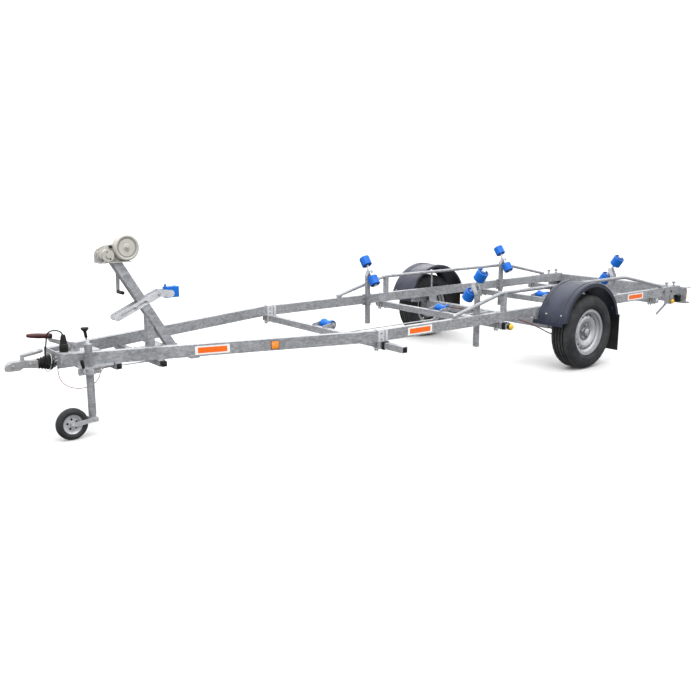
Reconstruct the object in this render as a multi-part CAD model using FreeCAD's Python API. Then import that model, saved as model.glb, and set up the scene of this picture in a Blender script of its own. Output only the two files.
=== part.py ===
import FreeCAD, Part
import math
import os

V = FreeCAD.Vector

# A boat trailer, in millimetres. X points forward to the coupling, Y to the trailer's left, Z up.
# The sizes below are laid out from the wheels: X is 0 above their axis and Z is 0 on the ground.
# Each solid is moved back at export, so that the origin lies under the middle of the whole trailer.

# Main frame: two box rails, parallel at the back, that turn in to a point at the front
RAIL_SPAN = 1508.0
RAIL_H = 80.0
RAIL_W = 50.0
RAIL_WALL = 3.0
RAIL_Z0 = 450.0
RAIL_REAR_X = -1860.0
BEND_X = 2150.0
RAIL_FRONT_X = 4170.0
NOSE_SPAN = 300.0

# Crossbeams under the rails
BEAM = 50.0
BEAM_WALL = 3.0
BEAM_OVERHANG = 36.0
FRONT_BEAM_X = 2075.0
MIDDLE_BEAM_X = 795.0
REAR_BEAM_X = -605.0
TAIL_BEAM_X = -1440.0
FRONT_BEAM_REACH = 210.0
MIDDLE_BEAM_REACH = 60.0
INNER_TUBE_HELD = 210.0

# Road wheels
WHEEL_OUT = 208.0
TYRE_R = 315.0
TYRE_W = 200.0
BEAD_R = 178.0
FLANGE_R = 196.0
FLANGE_HALF = 75.0
RIM_OFFSET = 30.0
RIM_WALL = 4.0
VENT_R = 9.0
VENT_COUNT = 16
TYRE_FIT = 0.4

# Brakes and axle
DRUM_R = 116.0
DRUM_W = 75.0
BACKPLATE_R = 124.0
BACKPLATE_T = 8.0
DRUM_GAP = 5.0
SPINDLE_R = 18.0
PIN_FIT = 0.06
AXLE_X = 150.0
AXLE_Z = 362.0
AXLE_TUBE = 70.0
AXLE_WALL = 5.0
AXLE_PLATE_BACK = 90.0
AXLE_PLATE_GAP = 5.0
ARM_T = 30.0
ARM_GAP = 12.0

# Mudguards
GUARD_CLEAR = 74.0
GUARD_LIFT = 36.0
GUARD_IN = 29.0
GUARD_OUT = 108.0
GUARD_T = 4.0
GUARD_SKIRT = 36.0
GUARD_LOW_Z = 432.0
FLAP_W = 200.0
FLAP_T = 6.0
FLAP_BOTTOM_Z = 110.0
STAY = 30.0
STAY_T = 4.0
SHELF_IN = 14.0
SHELF_OUT = 22.0
FOOT_IN = 14.0

# Side guide tubes above the rails
GUIDE_R = 15.0
GUIDE_Z = 685.0
GUIDE_FRONT_X = 1335.0
GUIDE_FRONT_BEND_X = 780.0
GUIDE_REAR_BEND_X = -950.0
GUIDE_REAR_X = -1600.0
GUIDE_POST = 38.0
GUIDE_POST_X = 750.0
GUIDE_ROD_R = 9.0
GUIDE_ROD_X = 146.0
GUIDE_INSET = 21.0

# Side supports: posts with a rocking pair of rollers
POST = 35.0
POST_WALL = 3.0
POST_Z0 = 265.0
POST_TOP_Z = 725.0
POST_FRONT_X = 1015.0
POST_REAR_X = -830.0
PIVOT_Z = 705.0
PIVOT_R = 6.0
ROCKER_TILT = 54.5
ROCKER_MID_IN = 28.5
ROCKER_MID_UP = 53.0
ROCKER_CHEEK_T = 5.0
CHEEK_GAP = 0.5
ROLLER_SPACING = 205.0
ROLLER_R = 48.0
ROLLER_L = 85.0
ROLLER_ROD_R = 10.0
ROLLER_SIDE_GAP = 2.0
NUT_T = 10.0

# Keel rollers behind the crossbeams
KEEL_BACK = 80.0
KEEL_Z = 462.0
KEEL_R = 38.0
KEEL_WAIST_R = 30.0
KEEL_L = 128.0
KEEL_PIN_R = 8.0
KEEL_PLATE_T = 6.0
KEEL_PLATE_R = 24.0

# Winch stand
STAND = 60.0
STAND_WALL = 4.0
STAND_FOOT_X = 3372.0
STAND_TOP_X = 3729.0
STAND_TOP_Z = 1064.0
STRUT = 50.0
STRUT_X = 3515.0
BASE_H = 30.0
BASE_REAR_X = 3325.0
BASE_FRONT_X = 3620.0
WINCH_BEAM_X = 3596.0
WINCH_BEAM = 40.0
WINCH_STRAP_X = 3375.0
WINCH_STRAP_T = 10.0
WINCH_BEAM_OVERHANG = 34.0

# Winch
WINCH_T = 4.0
WINCH_INNER_Y = 8.0
WINCH_OUTER_Y = -52.0
WINCH_REAR_X = 3632.0
WINCH_FRONT_X = 3848.0
PINION_X = 3790.0
PINION_Z = 1112.0
PINION_R = 40.0
DRUM_X = 3664.0
DRUM_Z = 1158.0
GEAR_CASE_R = 86.0
GEAR_CASE_W = 48.0
SPOOL_R = 42.0
CRANK_X = 3686.0
CRANK_Z = 1092.0
CRANK_ARM = 233.0
CRANK_ARM_W = 22.0
CRANK_ARM_T = 6.0
CRANK_SHAFT_R = 9.0
GRIP_R = 12.0
GRIP_L = 78.0

# Bow stop arm and block
BOW_FRONT_X = 3746.0
BOW_FRONT_Z = 700.0
BOW_KNEE_X = 3434.0
BOW_KNEE_Z = 838.0
BOW_REAR_X = 3356.0
BOW_REAR_Z = 828.0
BOW_H = 48.0
BOW_T = 5.0
BOW_SLOT_W = 13.0
BOW_SLOT_L = 190.0
BLOCK_L = 100.0
BLOCK_H = 74.0
BLOCK_X = 3345.0
BLOCK_Z = 837.0
BLOCK_NOTCH = 34.0

# Overrun device and coupling
PLATE_T = 10.0
PLATE_MARGIN = 4.0
COUPLING_Z = 462.0
HOUSING_REAR_X = 3885.0
HOUSING_HALF = 62.0
HOUSING_TOP_Z = 512.0
HOUSING_LOW_Z = 424.0
HOUSING_T = 6.0
BOSS_R = 40.0
BOSS_L = 26.0
SHAFT_R = 25.0
HEAD_REAR_X = 4278.0
HEAD_FRONT_X = 4470.0
HEAD_HALF = 34.0
HEAD_TOP_Z = 494.0
HEAD_LOW_Z = 439.0
BALL_X = 4432.0
BALL_R = 25.0
BALL_FIT = 0.3
GAITER_R = 46.0
GAITER_FOLD = 6.0
GAITER_FOLDS = 5
GAITER_TAPER = 4.5

# Handbrake lever, as (x, z) points in the middle plane
BRAKE_PIVOT = (4036.0, 548.0)
BRAKE_KNEE = (4180.0, 600.0)
BRAKE_GRIP = ((4196.0, 629.0), (4324.0, 645.0))
BRAKE_LEVER_T = 12.0

# Jockey wheel
JOCKEY_X = 4029.0
JOCKEY_Y = 224.0
JOCKEY_OUTER_R = 24.0
JOCKEY_WALL = 3.0
JOCKEY_FIT = 0.3
JOCKEY_LOW_Z = 137.0
JOCKEY_TOP_Z = 577.0
JOCKEY_TRAIL = 134.0
JOCKEY_R = 100.0
JOCKEY_W = 50.0
JOCKEY_RIM_R = 62.0
JOCKEY_AXLE_R = 6.0
FORK_T = 5.0
FORK_GAP = 5.0
FORK_LOW_Z = 96.0
FORK_TOP_Z = 124.0
CLAMP_Z0 = 400.0
CLAMP_Z1 = 440.0

# Rear light board
BOARD_X = -1900.0
BOARD_OVERHANG = 76.0
BOARD_Z0 = 357.0
BOARD_Z1 = 517.0
BOARD_FLANGE = 72.0
BOARD_T = 4.0
SLEEVE_T = 4.0
SLEEVE_GAP = 0.5
SLEEVE_FRONT_X = -1615.0
KNOB_XS = (-1694.0, -1822.0)
BACK_PLATE = 90.0
MARKER_X = -1756.0
MARKER_Z = 386.0
MARKER_R = 22.0
MARKER_T = 16.0
HANG_X = -1655.0
HANG_Z = 385.0
HANG_RUN = 170.0
HANG_DROP = 95.0
HANG_T = 6.0
LAMP_W = 230.0
LAMP_H = 104.0
LAMP_EDGE = 24.0

# Brake rod, cables and electric cable
ROD_Y = 48.0
ROD_Z = 386.0
ROD_R = 5.0
ROD_REAR_X = 236.0
DRAW_BEAM_X = 3850.0
DRAW_BEAM = 40.0
DRAW_BEAM_OVERHANG = 14.0
BOWDEN_R = 5.0
PLUG_X = 4133.0
PLUG_Y = 90.0
PLUG_TOP_Z = 612.0
PLUG_PLATE_T = 4.0
LEAD_R = 4.5
BREAKAWAY_R = 2.5

# Worked out from the sizes above
HALF_SPAN = RAIL_SPAN / 2
WHEEL_Y = HALF_SPAN + WHEEL_OUT
GUARD_INNER_Y = HALF_SPAN + GUARD_IN
GUARD_OUTER_Y = WHEEL_Y + GUARD_OUT
GUARD_R = TYRE_R + GUARD_CLEAR
GUARD_Z = TYRE_R + GUARD_LIFT
BOARD_HALF = HALF_SPAN + BOARD_OVERHANG
SHELF_IN_X = math.sqrt((GUARD_R - GUARD_T) ** 2 - (GUARD_LOW_Z - GUARD_Z) ** 2) - SHELF_IN
SHELF_OUT_X = SHELF_IN_X + SHELF_IN + SHELF_OUT
STAY_FOOT_X = SHELF_IN_X - FOOT_IN
RAIL_TOP = RAIL_Z0 + RAIL_H
BEAM_Z0 = RAIL_Z0 - BEAM
NOSE_ANGLE = math.atan2(HALF_SPAN - NOSE_SPAN / 2, RAIL_FRONT_X - BEND_X)
X_MID = (HEAD_FRONT_X + BOARD_X - BOARD_FLANGE) / 2
HUB_FACE_Y = WHEEL_Y + RIM_OFFSET
POST_Y = HALF_SPAN - RAIL_W - POST / 2
GUIDE_Y = HALF_SPAN - GUIDE_INSET

NODES = {}


def rail_y(x, depth=0.0):
    """Y of the left rail's outer face at x, or of a line that lies depth inside it."""
    if x < BEND_X - depth * math.tan(NOSE_ANGLE / 2):
        return HALF_SPAN - depth
    return HALF_SPAN - (x - BEND_X) * math.tan(NOSE_ANGLE) - depth / math.cos(NOSE_ANGLE)


def box(x0, x1, y0, y1, z0, z1):
    return Part.makeBox(x1 - x0, y1 - y0, z1 - z0, V(x0, y0, z0))


def rod(start, end, radius):
    axis = end.sub(start)
    return Part.makeCylinder(radius, axis.Length, start, axis)


def polygon(points):
    return Part.makePolygon(list(points) + [points[0]])


def prism(points, direction):
    return Part.Face(polygon(points)).extrude(direction)


def plate_xz(outline, y0, y1):
    """A plate cut to an outline of (x, z) points, from y0 to y1."""
    return prism([V(x, y0, z) for x, z in outline], V(0, y1 - y0, 0))


def plate_xy(outline, z0, z1):
    return prism([V(x, y, z0) for x, y in outline], V(0, 0, z1 - z0))


def link_xz(x0, z0, r0, x1, z1, r1, y0, y1):
    """A flat link with round ends of radius r0 at (x0, z0) and r1 at (x1, z1)."""
    length = math.hypot(x1 - x0, z1 - z0)
    lean = math.atan2(z1 - z0, x1 - x0)
    spread = math.acos((r0 - r1) / length)
    ends = []
    for side in (1, -1):
        angle = lean + side * spread
        ends.append([V(x + r * math.cos(angle), y0, z + r * math.sin(angle))
                     for x, z, r in ((x0, z0, r0), (x1, z1, r1))])
    far = V(x1 + r1 * math.cos(lean), y0, z1 + r1 * math.sin(lean))
    near = V(x0 - r0 * math.cos(lean), y0, z0 - r0 * math.sin(lean))
    wire = Part.Wire([
        Part.LineSegment(ends[0][0], ends[0][1]).toShape(),
        Part.Arc(ends[0][1], far, ends[1][1]).toShape(),
        Part.LineSegment(ends[1][1], ends[1][0]).toShape(),
        Part.Arc(ends[1][0], near, ends[0][0]).toShape(),
    ])
    return Part.Face(wire).extrude(V(0, y1 - y0, 0))


def turned(profile, centre, axis=V(0, 1, 0), angle=360.0):
    """A solid turned about the Y axis line through centre from (radius, y) points, then laid along axis."""
    points = [V(r, y, 0) for r, y in profile]
    solid = Part.Face(polygon(points)).revolve(V(0, 0, 0), V(0, 1, 0), angle)
    solid.Placement = FreeCAD.Placement(centre, FreeCAD.Rotation(V(0, 1, 0), axis))
    return solid


def mirrored(shape):
    return shape.mirror(V(0, 0, 0), V(0, 1, 0))


def joined(first, *others):
    return first.fuse(list(others)).removeSplitter()


def tube_path(points, share=0.45):
    """Straight runs through the points joined by tangent arcs, and the arcs' radii."""
    edges = []
    radii = []
    start = points[0]
    for before, corner, after in zip(points, points[1:], points[2:]):
        into = corner.sub(before)
        out = after.sub(corner)
        half_turn = into.getAngle(out) / 2
        cut = share * min(into.Length, out.Length)
        radius = cut / math.tan(half_turn)
        radii.append(radius)
        into.normalize()
        out.normalize()
        arc_in = corner - into * cut
        arc_out = corner + out * cut
        inward = (out - into).normalize()
        middle = corner + inward * (radius / math.cos(half_turn) - radius)
        edges.append(Part.LineSegment(start, arc_in).toShape())
        edges.append(Part.Arc(arc_in, middle, arc_out).toShape())
        start = arc_out
    edges.append(Part.LineSegment(start, points[-1]).toShape())
    return Part.Wire(edges), radii


def cable(points, radius, name, share=0.45):
    """A round cable along the points, with its bend radii and volume printed."""
    path, radii = tube_path(points, share)
    heading = points[1].sub(points[0])
    section = Part.Wire([Part.makeCircle(radius, points[0], heading)])
    solid = Part.Solid(path.makePipeShell([section], True, False))
    drawn = math.pi * radius ** 2 * path.Length
    print(name, "length %.0f, least radius %.0f, volume ratio %.4f" % (
        path.Length, min(radii), solid.Volume / drawn))
    return solid


def rail_solid(depth0, depth1, x_rear, x_front, z0, z1):
    """The left rail's band between two depths behind its outer face."""
    outline = []
    for depth, xs in ((depth0, (x_rear, x_front)), (depth1, (x_front, x_rear))):
        bend = BEND_X - depth * math.tan(NOSE_ANGLE / 2)
        run = [(xs[0], rail_y(xs[0], depth)), (bend, HALF_SPAN - depth), (xs[1], rail_y(xs[1], depth))]
        outline += run
    return plate_xy(outline, z0, z1)


def rails():
    outer = rail_solid(0, RAIL_W, RAIL_REAR_X, RAIL_FRONT_X, RAIL_Z0, RAIL_TOP)
    hollow = rail_solid(RAIL_WALL, RAIL_W - RAIL_WALL, RAIL_REAR_X - 1, RAIL_FRONT_X + 1,
                        RAIL_Z0 + RAIL_WALL, RAIL_TOP - RAIL_WALL)
    left = outer.cut(hollow)
    NODES["rail_left"] = left
    NODES["rail_right"] = mirrored(left)


def square_tube(x, y0, y1, z0, size, wall):
    """A square tube across the trailer, open at both ends."""
    outer = box(x - size / 2, x + size / 2, y0, y1, z0, z0 + size)
    return outer.cut(box(x - size / 2 + wall, x + size / 2 - wall, y0 - 1, y1 + 1,
                         z0 + wall, z0 + size - wall))


def keel_bracket(beam_x):
    """Two plates on a crossbeam that hold a keel roller's pin behind it."""
    pin_x = beam_x - KEEL_BACK
    inner = KEEL_L / 2 + ROLLER_SIDE_GAP
    outline = [
        (beam_x + BEAM / 2 - 4, RAIL_Z0), (beam_x + BEAM / 2 - 4, RAIL_Z0 + 18),
        (pin_x, KEEL_Z + KEEL_PLATE_R), (pin_x, KEEL_Z - KEEL_PLATE_R),
        (beam_x - BEAM / 2, RAIL_Z0 - 20), (beam_x - BEAM / 2, RAIL_Z0),
    ]
    solids = []
    for y0 in (inner, -inner - KEEL_PLATE_T):
        y1 = y0 + KEEL_PLATE_T
        solids.append(plate_xz(outline, y0, y1))
        solids.append(rod(V(pin_x, y0, KEEL_Z), V(pin_x, y1, KEEL_Z), KEEL_PLATE_R))
    end = inner + KEEL_PLATE_T + NUT_T
    solids.append(rod(V(pin_x, -end, KEEL_Z), V(pin_x, end, KEEL_Z), KEEL_PIN_R))
    return solids


def keel_roller(beam_x):
    half = KEEL_L / 2
    profile = [
        (KEEL_PIN_R + PIN_FIT, -half), (KEEL_R - 4, -half), (KEEL_R, -half + 5),
        (KEEL_R, -half + 22), (KEEL_WAIST_R, -16), (KEEL_WAIST_R, 16),
        (KEEL_R, half - 22), (KEEL_R, half - 5), (KEEL_R - 4, half), (KEEL_PIN_R + PIN_FIT, half),
    ]
    return turned(profile, V(beam_x - KEEL_BACK, 0, KEEL_Z))


def crossbeams():
    half = HALF_SPAN + BEAM_OVERHANG
    inner_tube = BEAM - 2 * BEAM_WALL
    reaches = {"front": FRONT_BEAM_REACH, "middle": MIDDLE_BEAM_REACH, "rear": 0}
    for name, x in (("front", FRONT_BEAM_X), ("middle", MIDDLE_BEAM_X), ("rear", REAR_BEAM_X)):
        reach = reaches[name]
        beam = square_tube(x, -half, half, BEAM_Z0, BEAM, BEAM_WALL)
        parts = keel_bracket(x)
        if reach:
            parts.append(square_tube(x, half - INNER_TUBE_HELD, half + reach, BEAM_Z0 + BEAM_WALL,
                                     inner_tube, BEAM_WALL))
        NODES[name + "_crossbeam"] = joined(beam, *parts)
        NODES["keel_roller_" + name] = keel_roller(x)
    NODES["tail_crossbeam"] = square_tube(TAIL_BEAM_X, -half, half, BEAM_Z0, BEAM, BEAM_WALL)


def tyre():
    half = TYRE_W / 2
    bead = FLANGE_HALF - 5 - TYRE_FIT
    base = BEAD_R + TYRE_FIT
    tread_half = half * 0.74
    p = [
        V(base, -bead, 0), V(FLANGE_R + 3, -bead, 0), V(FLANGE_R + 6, -half + 14, 0),
        V(TYRE_R - 12, -half + 10, 0), V(TYRE_R - 1.5, -tread_half, 0), V(TYRE_R - 1.5, tread_half, 0),
        V(TYRE_R - 12, half - 10, 0), V(FLANGE_R + 6, half - 14, 0), V(FLANGE_R + 3, bead, 0),
        V(base, bead, 0),
    ]
    wall_r = (FLANGE_R + TYRE_R) / 2
    edges = [
        Part.LineSegment(p[0], p[1]), Part.LineSegment(p[1], p[2]),
        Part.Arc(p[2], V(wall_r, -half, 0), p[3]),
        Part.Arc(p[3], V(TYRE_R - 5, -half + 17, 0), p[4]),
        Part.Arc(p[4], V(TYRE_R, 0, 0), p[5]),
        Part.Arc(p[5], V(TYRE_R - 5, half - 17, 0), p[6]),
        Part.Arc(p[6], V(wall_r, half, 0), p[7]),
        Part.LineSegment(p[7], p[8]), Part.LineSegment(p[8], p[9]), Part.LineSegment(p[9], p[0]),
    ]
    face = Part.Face(Part.Wire([e.toShape() for e in edges]))
    solid = face.revolve(V(0, 0, 0), V(0, 1, 0), 360)
    solid.translate(V(0, WHEEL_Y, TYRE_R))
    return solid


def rim():
    """A pressed steel rim with a vented disc, and the brake drum bolted behind it."""
    edge = FLANGE_HALF
    barrel = turned([
        (FLANGE_R, -edge), (FLANGE_R, -edge + 5), (BEAD_R, -edge + 5), (BEAD_R, -50), (162, -38),
        (162, 38), (BEAD_R, 50), (BEAD_R, edge - 5), (FLANGE_R, edge - 5), (FLANGE_R, edge),
        (BEAD_R - 5, edge), (BEAD_R - 5, 52), (157, 39), (157, -39), (BEAD_R - 5, -52),
        (BEAD_R - 5, -edge),
    ], V(0, WHEEL_Y, TYRE_R))
    dish = [(32, 0), (78, 0), (94, 15), (118, 22), (138, 12), (158, -14)]
    t = RIM_WALL
    section = [(r, RIM_OFFSET + y) for r, y in dish] + [(r, RIM_OFFSET + y + t) for r, y in reversed(dish)]
    disc = turned(section, V(0, WHEEL_Y, TYRE_R))
    for i in range(VENT_COUNT):
        angle = 2 * math.pi * i / VENT_COUNT
        x = 140 * math.cos(angle)
        z = TYRE_R + 140 * math.sin(angle)
        disc = disc.cut(rod(V(x, HUB_FACE_Y - 30, z), V(x, HUB_FACE_Y + 40, z), VENT_R))
    back = HUB_FACE_Y - DRUM_W
    drum = rod(V(0, back, TYRE_R), V(0, HUB_FACE_Y, TYRE_R), DRUM_R)
    cap = rod(V(0, HUB_FACE_Y, TYRE_R), V(0, HUB_FACE_Y + 26, TYRE_R), 31)
    bore = rod(V(0, back - 1, TYRE_R), V(0, HUB_FACE_Y - 8, TYRE_R), SPINDLE_R + PIN_FIT)
    return joined(barrel, disc, drum, cap).cut(bore)


def wheels():
    NODES["tyre_left"] = tyre()
    NODES["tyre_right"] = mirrored(tyre())
    NODES["rim_left"] = rim()
    NODES["rim_right"] = mirrored(rim())


def axle_side():
    """The left end of the axle: saddle on the rail, trailing arm, spindle and brake backplate."""
    inner = HALF_SPAN - RAIL_W
    top = AXLE_Z + AXLE_TUBE / 2
    saddle = box(AXLE_X - 60, AXLE_X + 60, inner, HALF_SPAN, RAIL_Z0 - 6, RAIL_Z0)
    cheeks = [box(AXLE_X - 50, AXLE_X + 50, y, y + 6, top - 1, RAIL_Z0 - 5) for y in (inner, HALF_SPAN - 6)]
    plate_x = AXLE_X + AXLE_PLATE_BACK
    plate_end = STAY_FOOT_X - AXLE_PLATE_GAP
    plate = box(plate_x, plate_end, HALF_SPAN, HALF_SPAN + 6, RAIL_Z0 - 34, RAIL_TOP - 4)
    plate = plate.fuse(box(AXLE_X - 60, plate_end, HALF_SPAN, HALF_SPAN + 6, top - 1, RAIL_Z0 + 30))
    slot_x = (plate_x + plate_end) / 2
    slot_r = (plate_end - plate_x) / 13
    slot = link_xz(slot_x, RAIL_Z0 + 10, slot_r, slot_x, RAIL_Z0 + 62, slot_r - 0.01,
                   HALF_SPAN - 1, HALF_SPAN + 7)
    plate = plate.cut(slot)
    arm_y = HALF_SPAN + ARM_GAP
    hinge = rod(V(AXLE_X, HALF_SPAN, AXLE_Z), V(AXLE_X, arm_y, AXLE_Z), 26)
    arm = link_xz(AXLE_X, AXLE_Z, 42, 0, TYRE_R, 34, arm_y, arm_y + ARM_T)
    drum_y = HUB_FACE_Y - DRUM_W - DRUM_GAP
    boss = rod(V(0, arm_y + ARM_T, TYRE_R), V(0, drum_y - BACKPLATE_T, TYRE_R), 30)
    backplate = rod(V(0, drum_y - BACKPLATE_T, TYRE_R), V(0, drum_y, TYRE_R), BACKPLATE_R)
    spindle = rod(V(0, drum_y, TYRE_R), V(0, HUB_FACE_Y - 12, TYRE_R), SPINDLE_R)
    return [saddle, plate, hinge, arm, boss, backplate, spindle] + cheeks


def axle():
    half = HALF_SPAN
    tube = square_tube(AXLE_X, -half, half, AXLE_Z - AXLE_TUBE / 2, AXLE_TUBE, AXLE_WALL)
    closing = [box(AXLE_X - 30, AXLE_X + 30, half - 8, half, AXLE_Z - 30, AXLE_Z + 30)]
    left = axle_side() + closing
    right = [mirrored(s) for s in left]
    NODES["axle_beam"] = joined(tube, *(left + right))


def mudguard():
    """A moulded guard: a ribbed band over the tyre with a skirt down each edge."""
    half = (GUARD_OUTER_Y - GUARD_INNER_Y) / 2
    middle = (GUARD_OUTER_Y + GUARD_INNER_Y) / 2
    r = GUARD_R
    t = GUARD_T
    rib = 5.0
    outer = [
        (r - GUARD_SKIRT, half), (r - 8, half), (r, half - 8), (r, half - 34), (r - rib, half - 39),
        (r - rib, half - 48), (r, half - 53), (r, half - 66), (r - rib, half - 71),
        (r - rib, -half + 40), (r, -half + 35), (r, -half + 8), (r - 8, -half),
        (r - GUARD_SKIRT + 12, -half),
    ]
    inner = [
        (r - GUARD_SKIRT + 12, -half + t), (r - 8 - t / 2, -half + t), (r - t, -half + 8 + t / 2),
        (r - t, -half + 33), (r - rib - t, -half + 38), (r - rib - t, half - 69), (r - t, half - 64),
        (r - t, half - 55), (r - rib - t, half - 50), (r - rib - t, half - 37), (r - t, half - 32),
        (r - t, half - 8 - t / 2), (r - 8 - t / 2, half - t), (r - GUARD_SKIRT, half - t),
    ]
    points = [V(p, y, 0) for p, y in outer + inner]
    band = Part.Face(polygon(points)).revolve(V(0, 0, 0), V(0, -1, 0), 180)
    band.translate(V(0, middle, GUARD_Z))
    low = box(-r - 1, r + 1, GUARD_INNER_Y - 1, GUARD_OUTER_Y + 1, GUARD_Z - 1, GUARD_LOW_Z)
    return band.cut(low)


def mudguards():
    guard = mudguard()
    NODES["mudguard_left"] = guard
    NODES["mudguard_right"] = mirrored(guard)
    z = GUARD_LOW_Z
    shelf_in = SHELF_IN_X
    shelf_out = SHELF_OUT_X
    y0 = WHEEL_Y - FLAP_W / 2
    stay_y1 = GUARD_OUTER_Y - 12
    flap = box(-shelf_out - FLAP_T, -shelf_out, y0, y0 + FLAP_W, FLAP_BOTTOM_Z, z - 2)
    NODES["mudflap_left"] = flap
    NODES["mudflap_right"] = mirrored(flap)
    stays = []
    for side in (1, -1):
        xs = sorted((side * shelf_in, side * shelf_out))
        shelf = box(xs[0], xs[1], HALF_SPAN, stay_y1, z - STAY_T, z)
        xw = sorted((side * (shelf_out - STAY_T), side * shelf_out))
        web = box(xw[0], xw[1], HALF_SPAN, stay_y1, z - STAY, z)
        xf = sorted((side * STAY_FOOT_X, side * shelf_out))
        foot = box(xf[0], xf[1], HALF_SPAN, HALF_SPAN + STAY_T, z - STAY, RAIL_TOP - 12)
        stay = joined(shelf, web, foot)
        stays += [stay, mirrored(stay)]
    NODES["mudguard_stays"] = Part.makeCompound(stays)


def guide_tube():
    foot_z = RAIL_TOP + GUIDE_R
    points = [
        V(GUIDE_FRONT_X, GUIDE_Y, foot_z), V(GUIDE_FRONT_BEND_X, GUIDE_Y, GUIDE_Z),
        V(GUIDE_REAR_BEND_X, GUIDE_Y, GUIDE_Z), V(GUIDE_REAR_X, GUIDE_Y, foot_z),
    ]
    tube = cable(points, GUIDE_R, "guide tube", 0.12)
    feet = [box(x0, x0 + 46, GUIDE_Y - 12, GUIDE_Y + 12, RAIL_TOP, foot_z)
            for x0 in (GUIDE_FRONT_X - 44, GUIDE_REAR_X - 2)]
    half = GUIDE_POST / 2
    post = box(GUIDE_POST_X - half, GUIDE_POST_X + half, GUIDE_Y - half, GUIDE_Y + half, RAIL_TOP, GUIDE_Z)
    thin = rod(V(GUIDE_ROD_X, GUIDE_Y, RAIL_TOP), V(GUIDE_ROD_X, GUIDE_Y, GUIDE_Z), GUIDE_ROD_R)
    return joined(tube, post, thin, *feet)


def guide_tubes():
    tube = guide_tube()
    NODES["guide_tube_left"] = tube
    NODES["guide_tube_right"] = mirrored(tube)


def side_post(x):
    """A square post clamped against the rail's inner face, with the rocker's pivot pin at its top."""
    half = POST / 2
    y0 = POST_Y - half
    rail_face = POST_Y + half
    outer = box(x - half, x + half, y0, rail_face, POST_Z0, POST_TOP_Z)
    post = outer.cut(box(x - half + POST_WALL, x + half - POST_WALL, y0 + POST_WALL, rail_face - POST_WALL,
                         POST_Z0 - 1, POST_TOP_Z + 1))
    z0 = RAIL_Z0 - 12
    z1 = RAIL_TOP + 12
    t = 5.0
    hat = [box(x - half - t, x + half + t, y0 - t, y0, z0, z1)]
    for side in (1, -1):
        xs = sorted((x + side * half, x + side * (half + t)))
        hat.append(box(xs[0], xs[1], y0 - t, rail_face, z0, z1))
        xs = sorted((x + side * half, x + side * 50))
        hat.append(box(xs[0], xs[1], rail_face - t, rail_face, z0, z1))
    end = half + CHEEK_GAP + ROCKER_CHEEK_T + 6
    pin = rod(V(x - end, POST_Y, PIVOT_Z), V(x + end, POST_Y, PIVOT_Z), PIVOT_R)
    return joined(post, pin, *hat)


def rocker_frame():
    """The rocker's middle point and the direction of its roller rod, outward and up."""
    tilt = math.radians(ROCKER_TILT)
    return V(0, POST_Y - ROCKER_MID_IN, PIVOT_Z + ROCKER_MID_UP), V(0, math.cos(tilt), math.sin(tilt))


def rocker(x):
    middle, along = rocker_frame()
    middle.x = x
    cheeks = []
    gap = POST / 2 + CHEEK_GAP
    for x0 in (x + gap, x - gap - ROCKER_CHEEK_T):
        # the link is drawn lying in XZ and then turned to stand across the trailer
        length = math.hypot(ROCKER_MID_IN, ROCKER_MID_UP)
        link = link_xz(0, 0, 17, length, 0, 19, 0, ROCKER_CHEEK_T)
        hole = rod(V(0, -1, 0), V(0, ROCKER_CHEEK_T + 1, 0), PIVOT_R + PIN_FIT)
        link = link.cut(hole)
        lean = math.degrees(math.atan2(ROCKER_MID_UP, -ROCKER_MID_IN))
        turn = FreeCAD.Rotation(V(1, 0, 0), lean).multiply(FreeCAD.Rotation(V(0, 0, 1), 90))
        link.Placement = FreeCAD.Placement(V(x0 + ROCKER_CHEEK_T, POST_Y, PIVOT_Z), turn)
        cheeks.append(link)
    across = gap + ROCKER_CHEEK_T
    bridge = rod(V(x - across, middle.y, middle.z), V(x + across, middle.y, middle.z), 15)
    inner = ROLLER_SPACING / 2 - ROLLER_L / 2 - ROLLER_SIDE_GAP
    outer = ROLLER_SPACING / 2 + ROLLER_L / 2 + ROLLER_SIDE_GAP
    spacer = rod(middle - along * inner, middle + along * inner, ROLLER_ROD_R + 5)
    axle_rod = rod(middle - along * (outer + NUT_T), middle + along * (outer + NUT_T), ROLLER_ROD_R)
    nuts = [rod(middle + along * (side * outer), middle + along * (side * (outer + NUT_T)), ROLLER_ROD_R + 5)
            for side in (1, -1)]
    return joined(bridge, spacer, axle_rod, *(cheeks + nuts))


def roller_pair(x):
    middle, along = rocker_frame()
    middle.x = x
    half = ROLLER_L / 2
    hub = ROLLER_ROD_R + PIN_FIT
    profile = [
        (hub, -half), (hub + 12, -half), (hub + 12, -half + 6), (ROLLER_R - 10, -half + 6),
        (ROLLER_R - 10, -half), (ROLLER_R - 4, -half), (ROLLER_R, -half + 4), (ROLLER_R, half - 4),
        (ROLLER_R - 4, half), (ROLLER_R - 10, half), (ROLLER_R - 10, half - 6), (hub + 12, half - 6),
        (hub + 12, half), (hub, half),
    ]
    rollers = [turned(profile, middle + along * (side * ROLLER_SPACING / 2), along) for side in (1, -1)]
    return Part.makeCompound(rollers)


def side_supports():
    for end, x in (("front", POST_FRONT_X), ("rear", POST_REAR_X)):
        for name, make in (("post", side_post), ("rocker", rocker), ("rollers", roller_pair)):
            solid = make(x)
            NODES["%s_%s_left" % (name, end)] = solid
            NODES["%s_%s_right" % (name, end)] = mirrored(solid)


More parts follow.
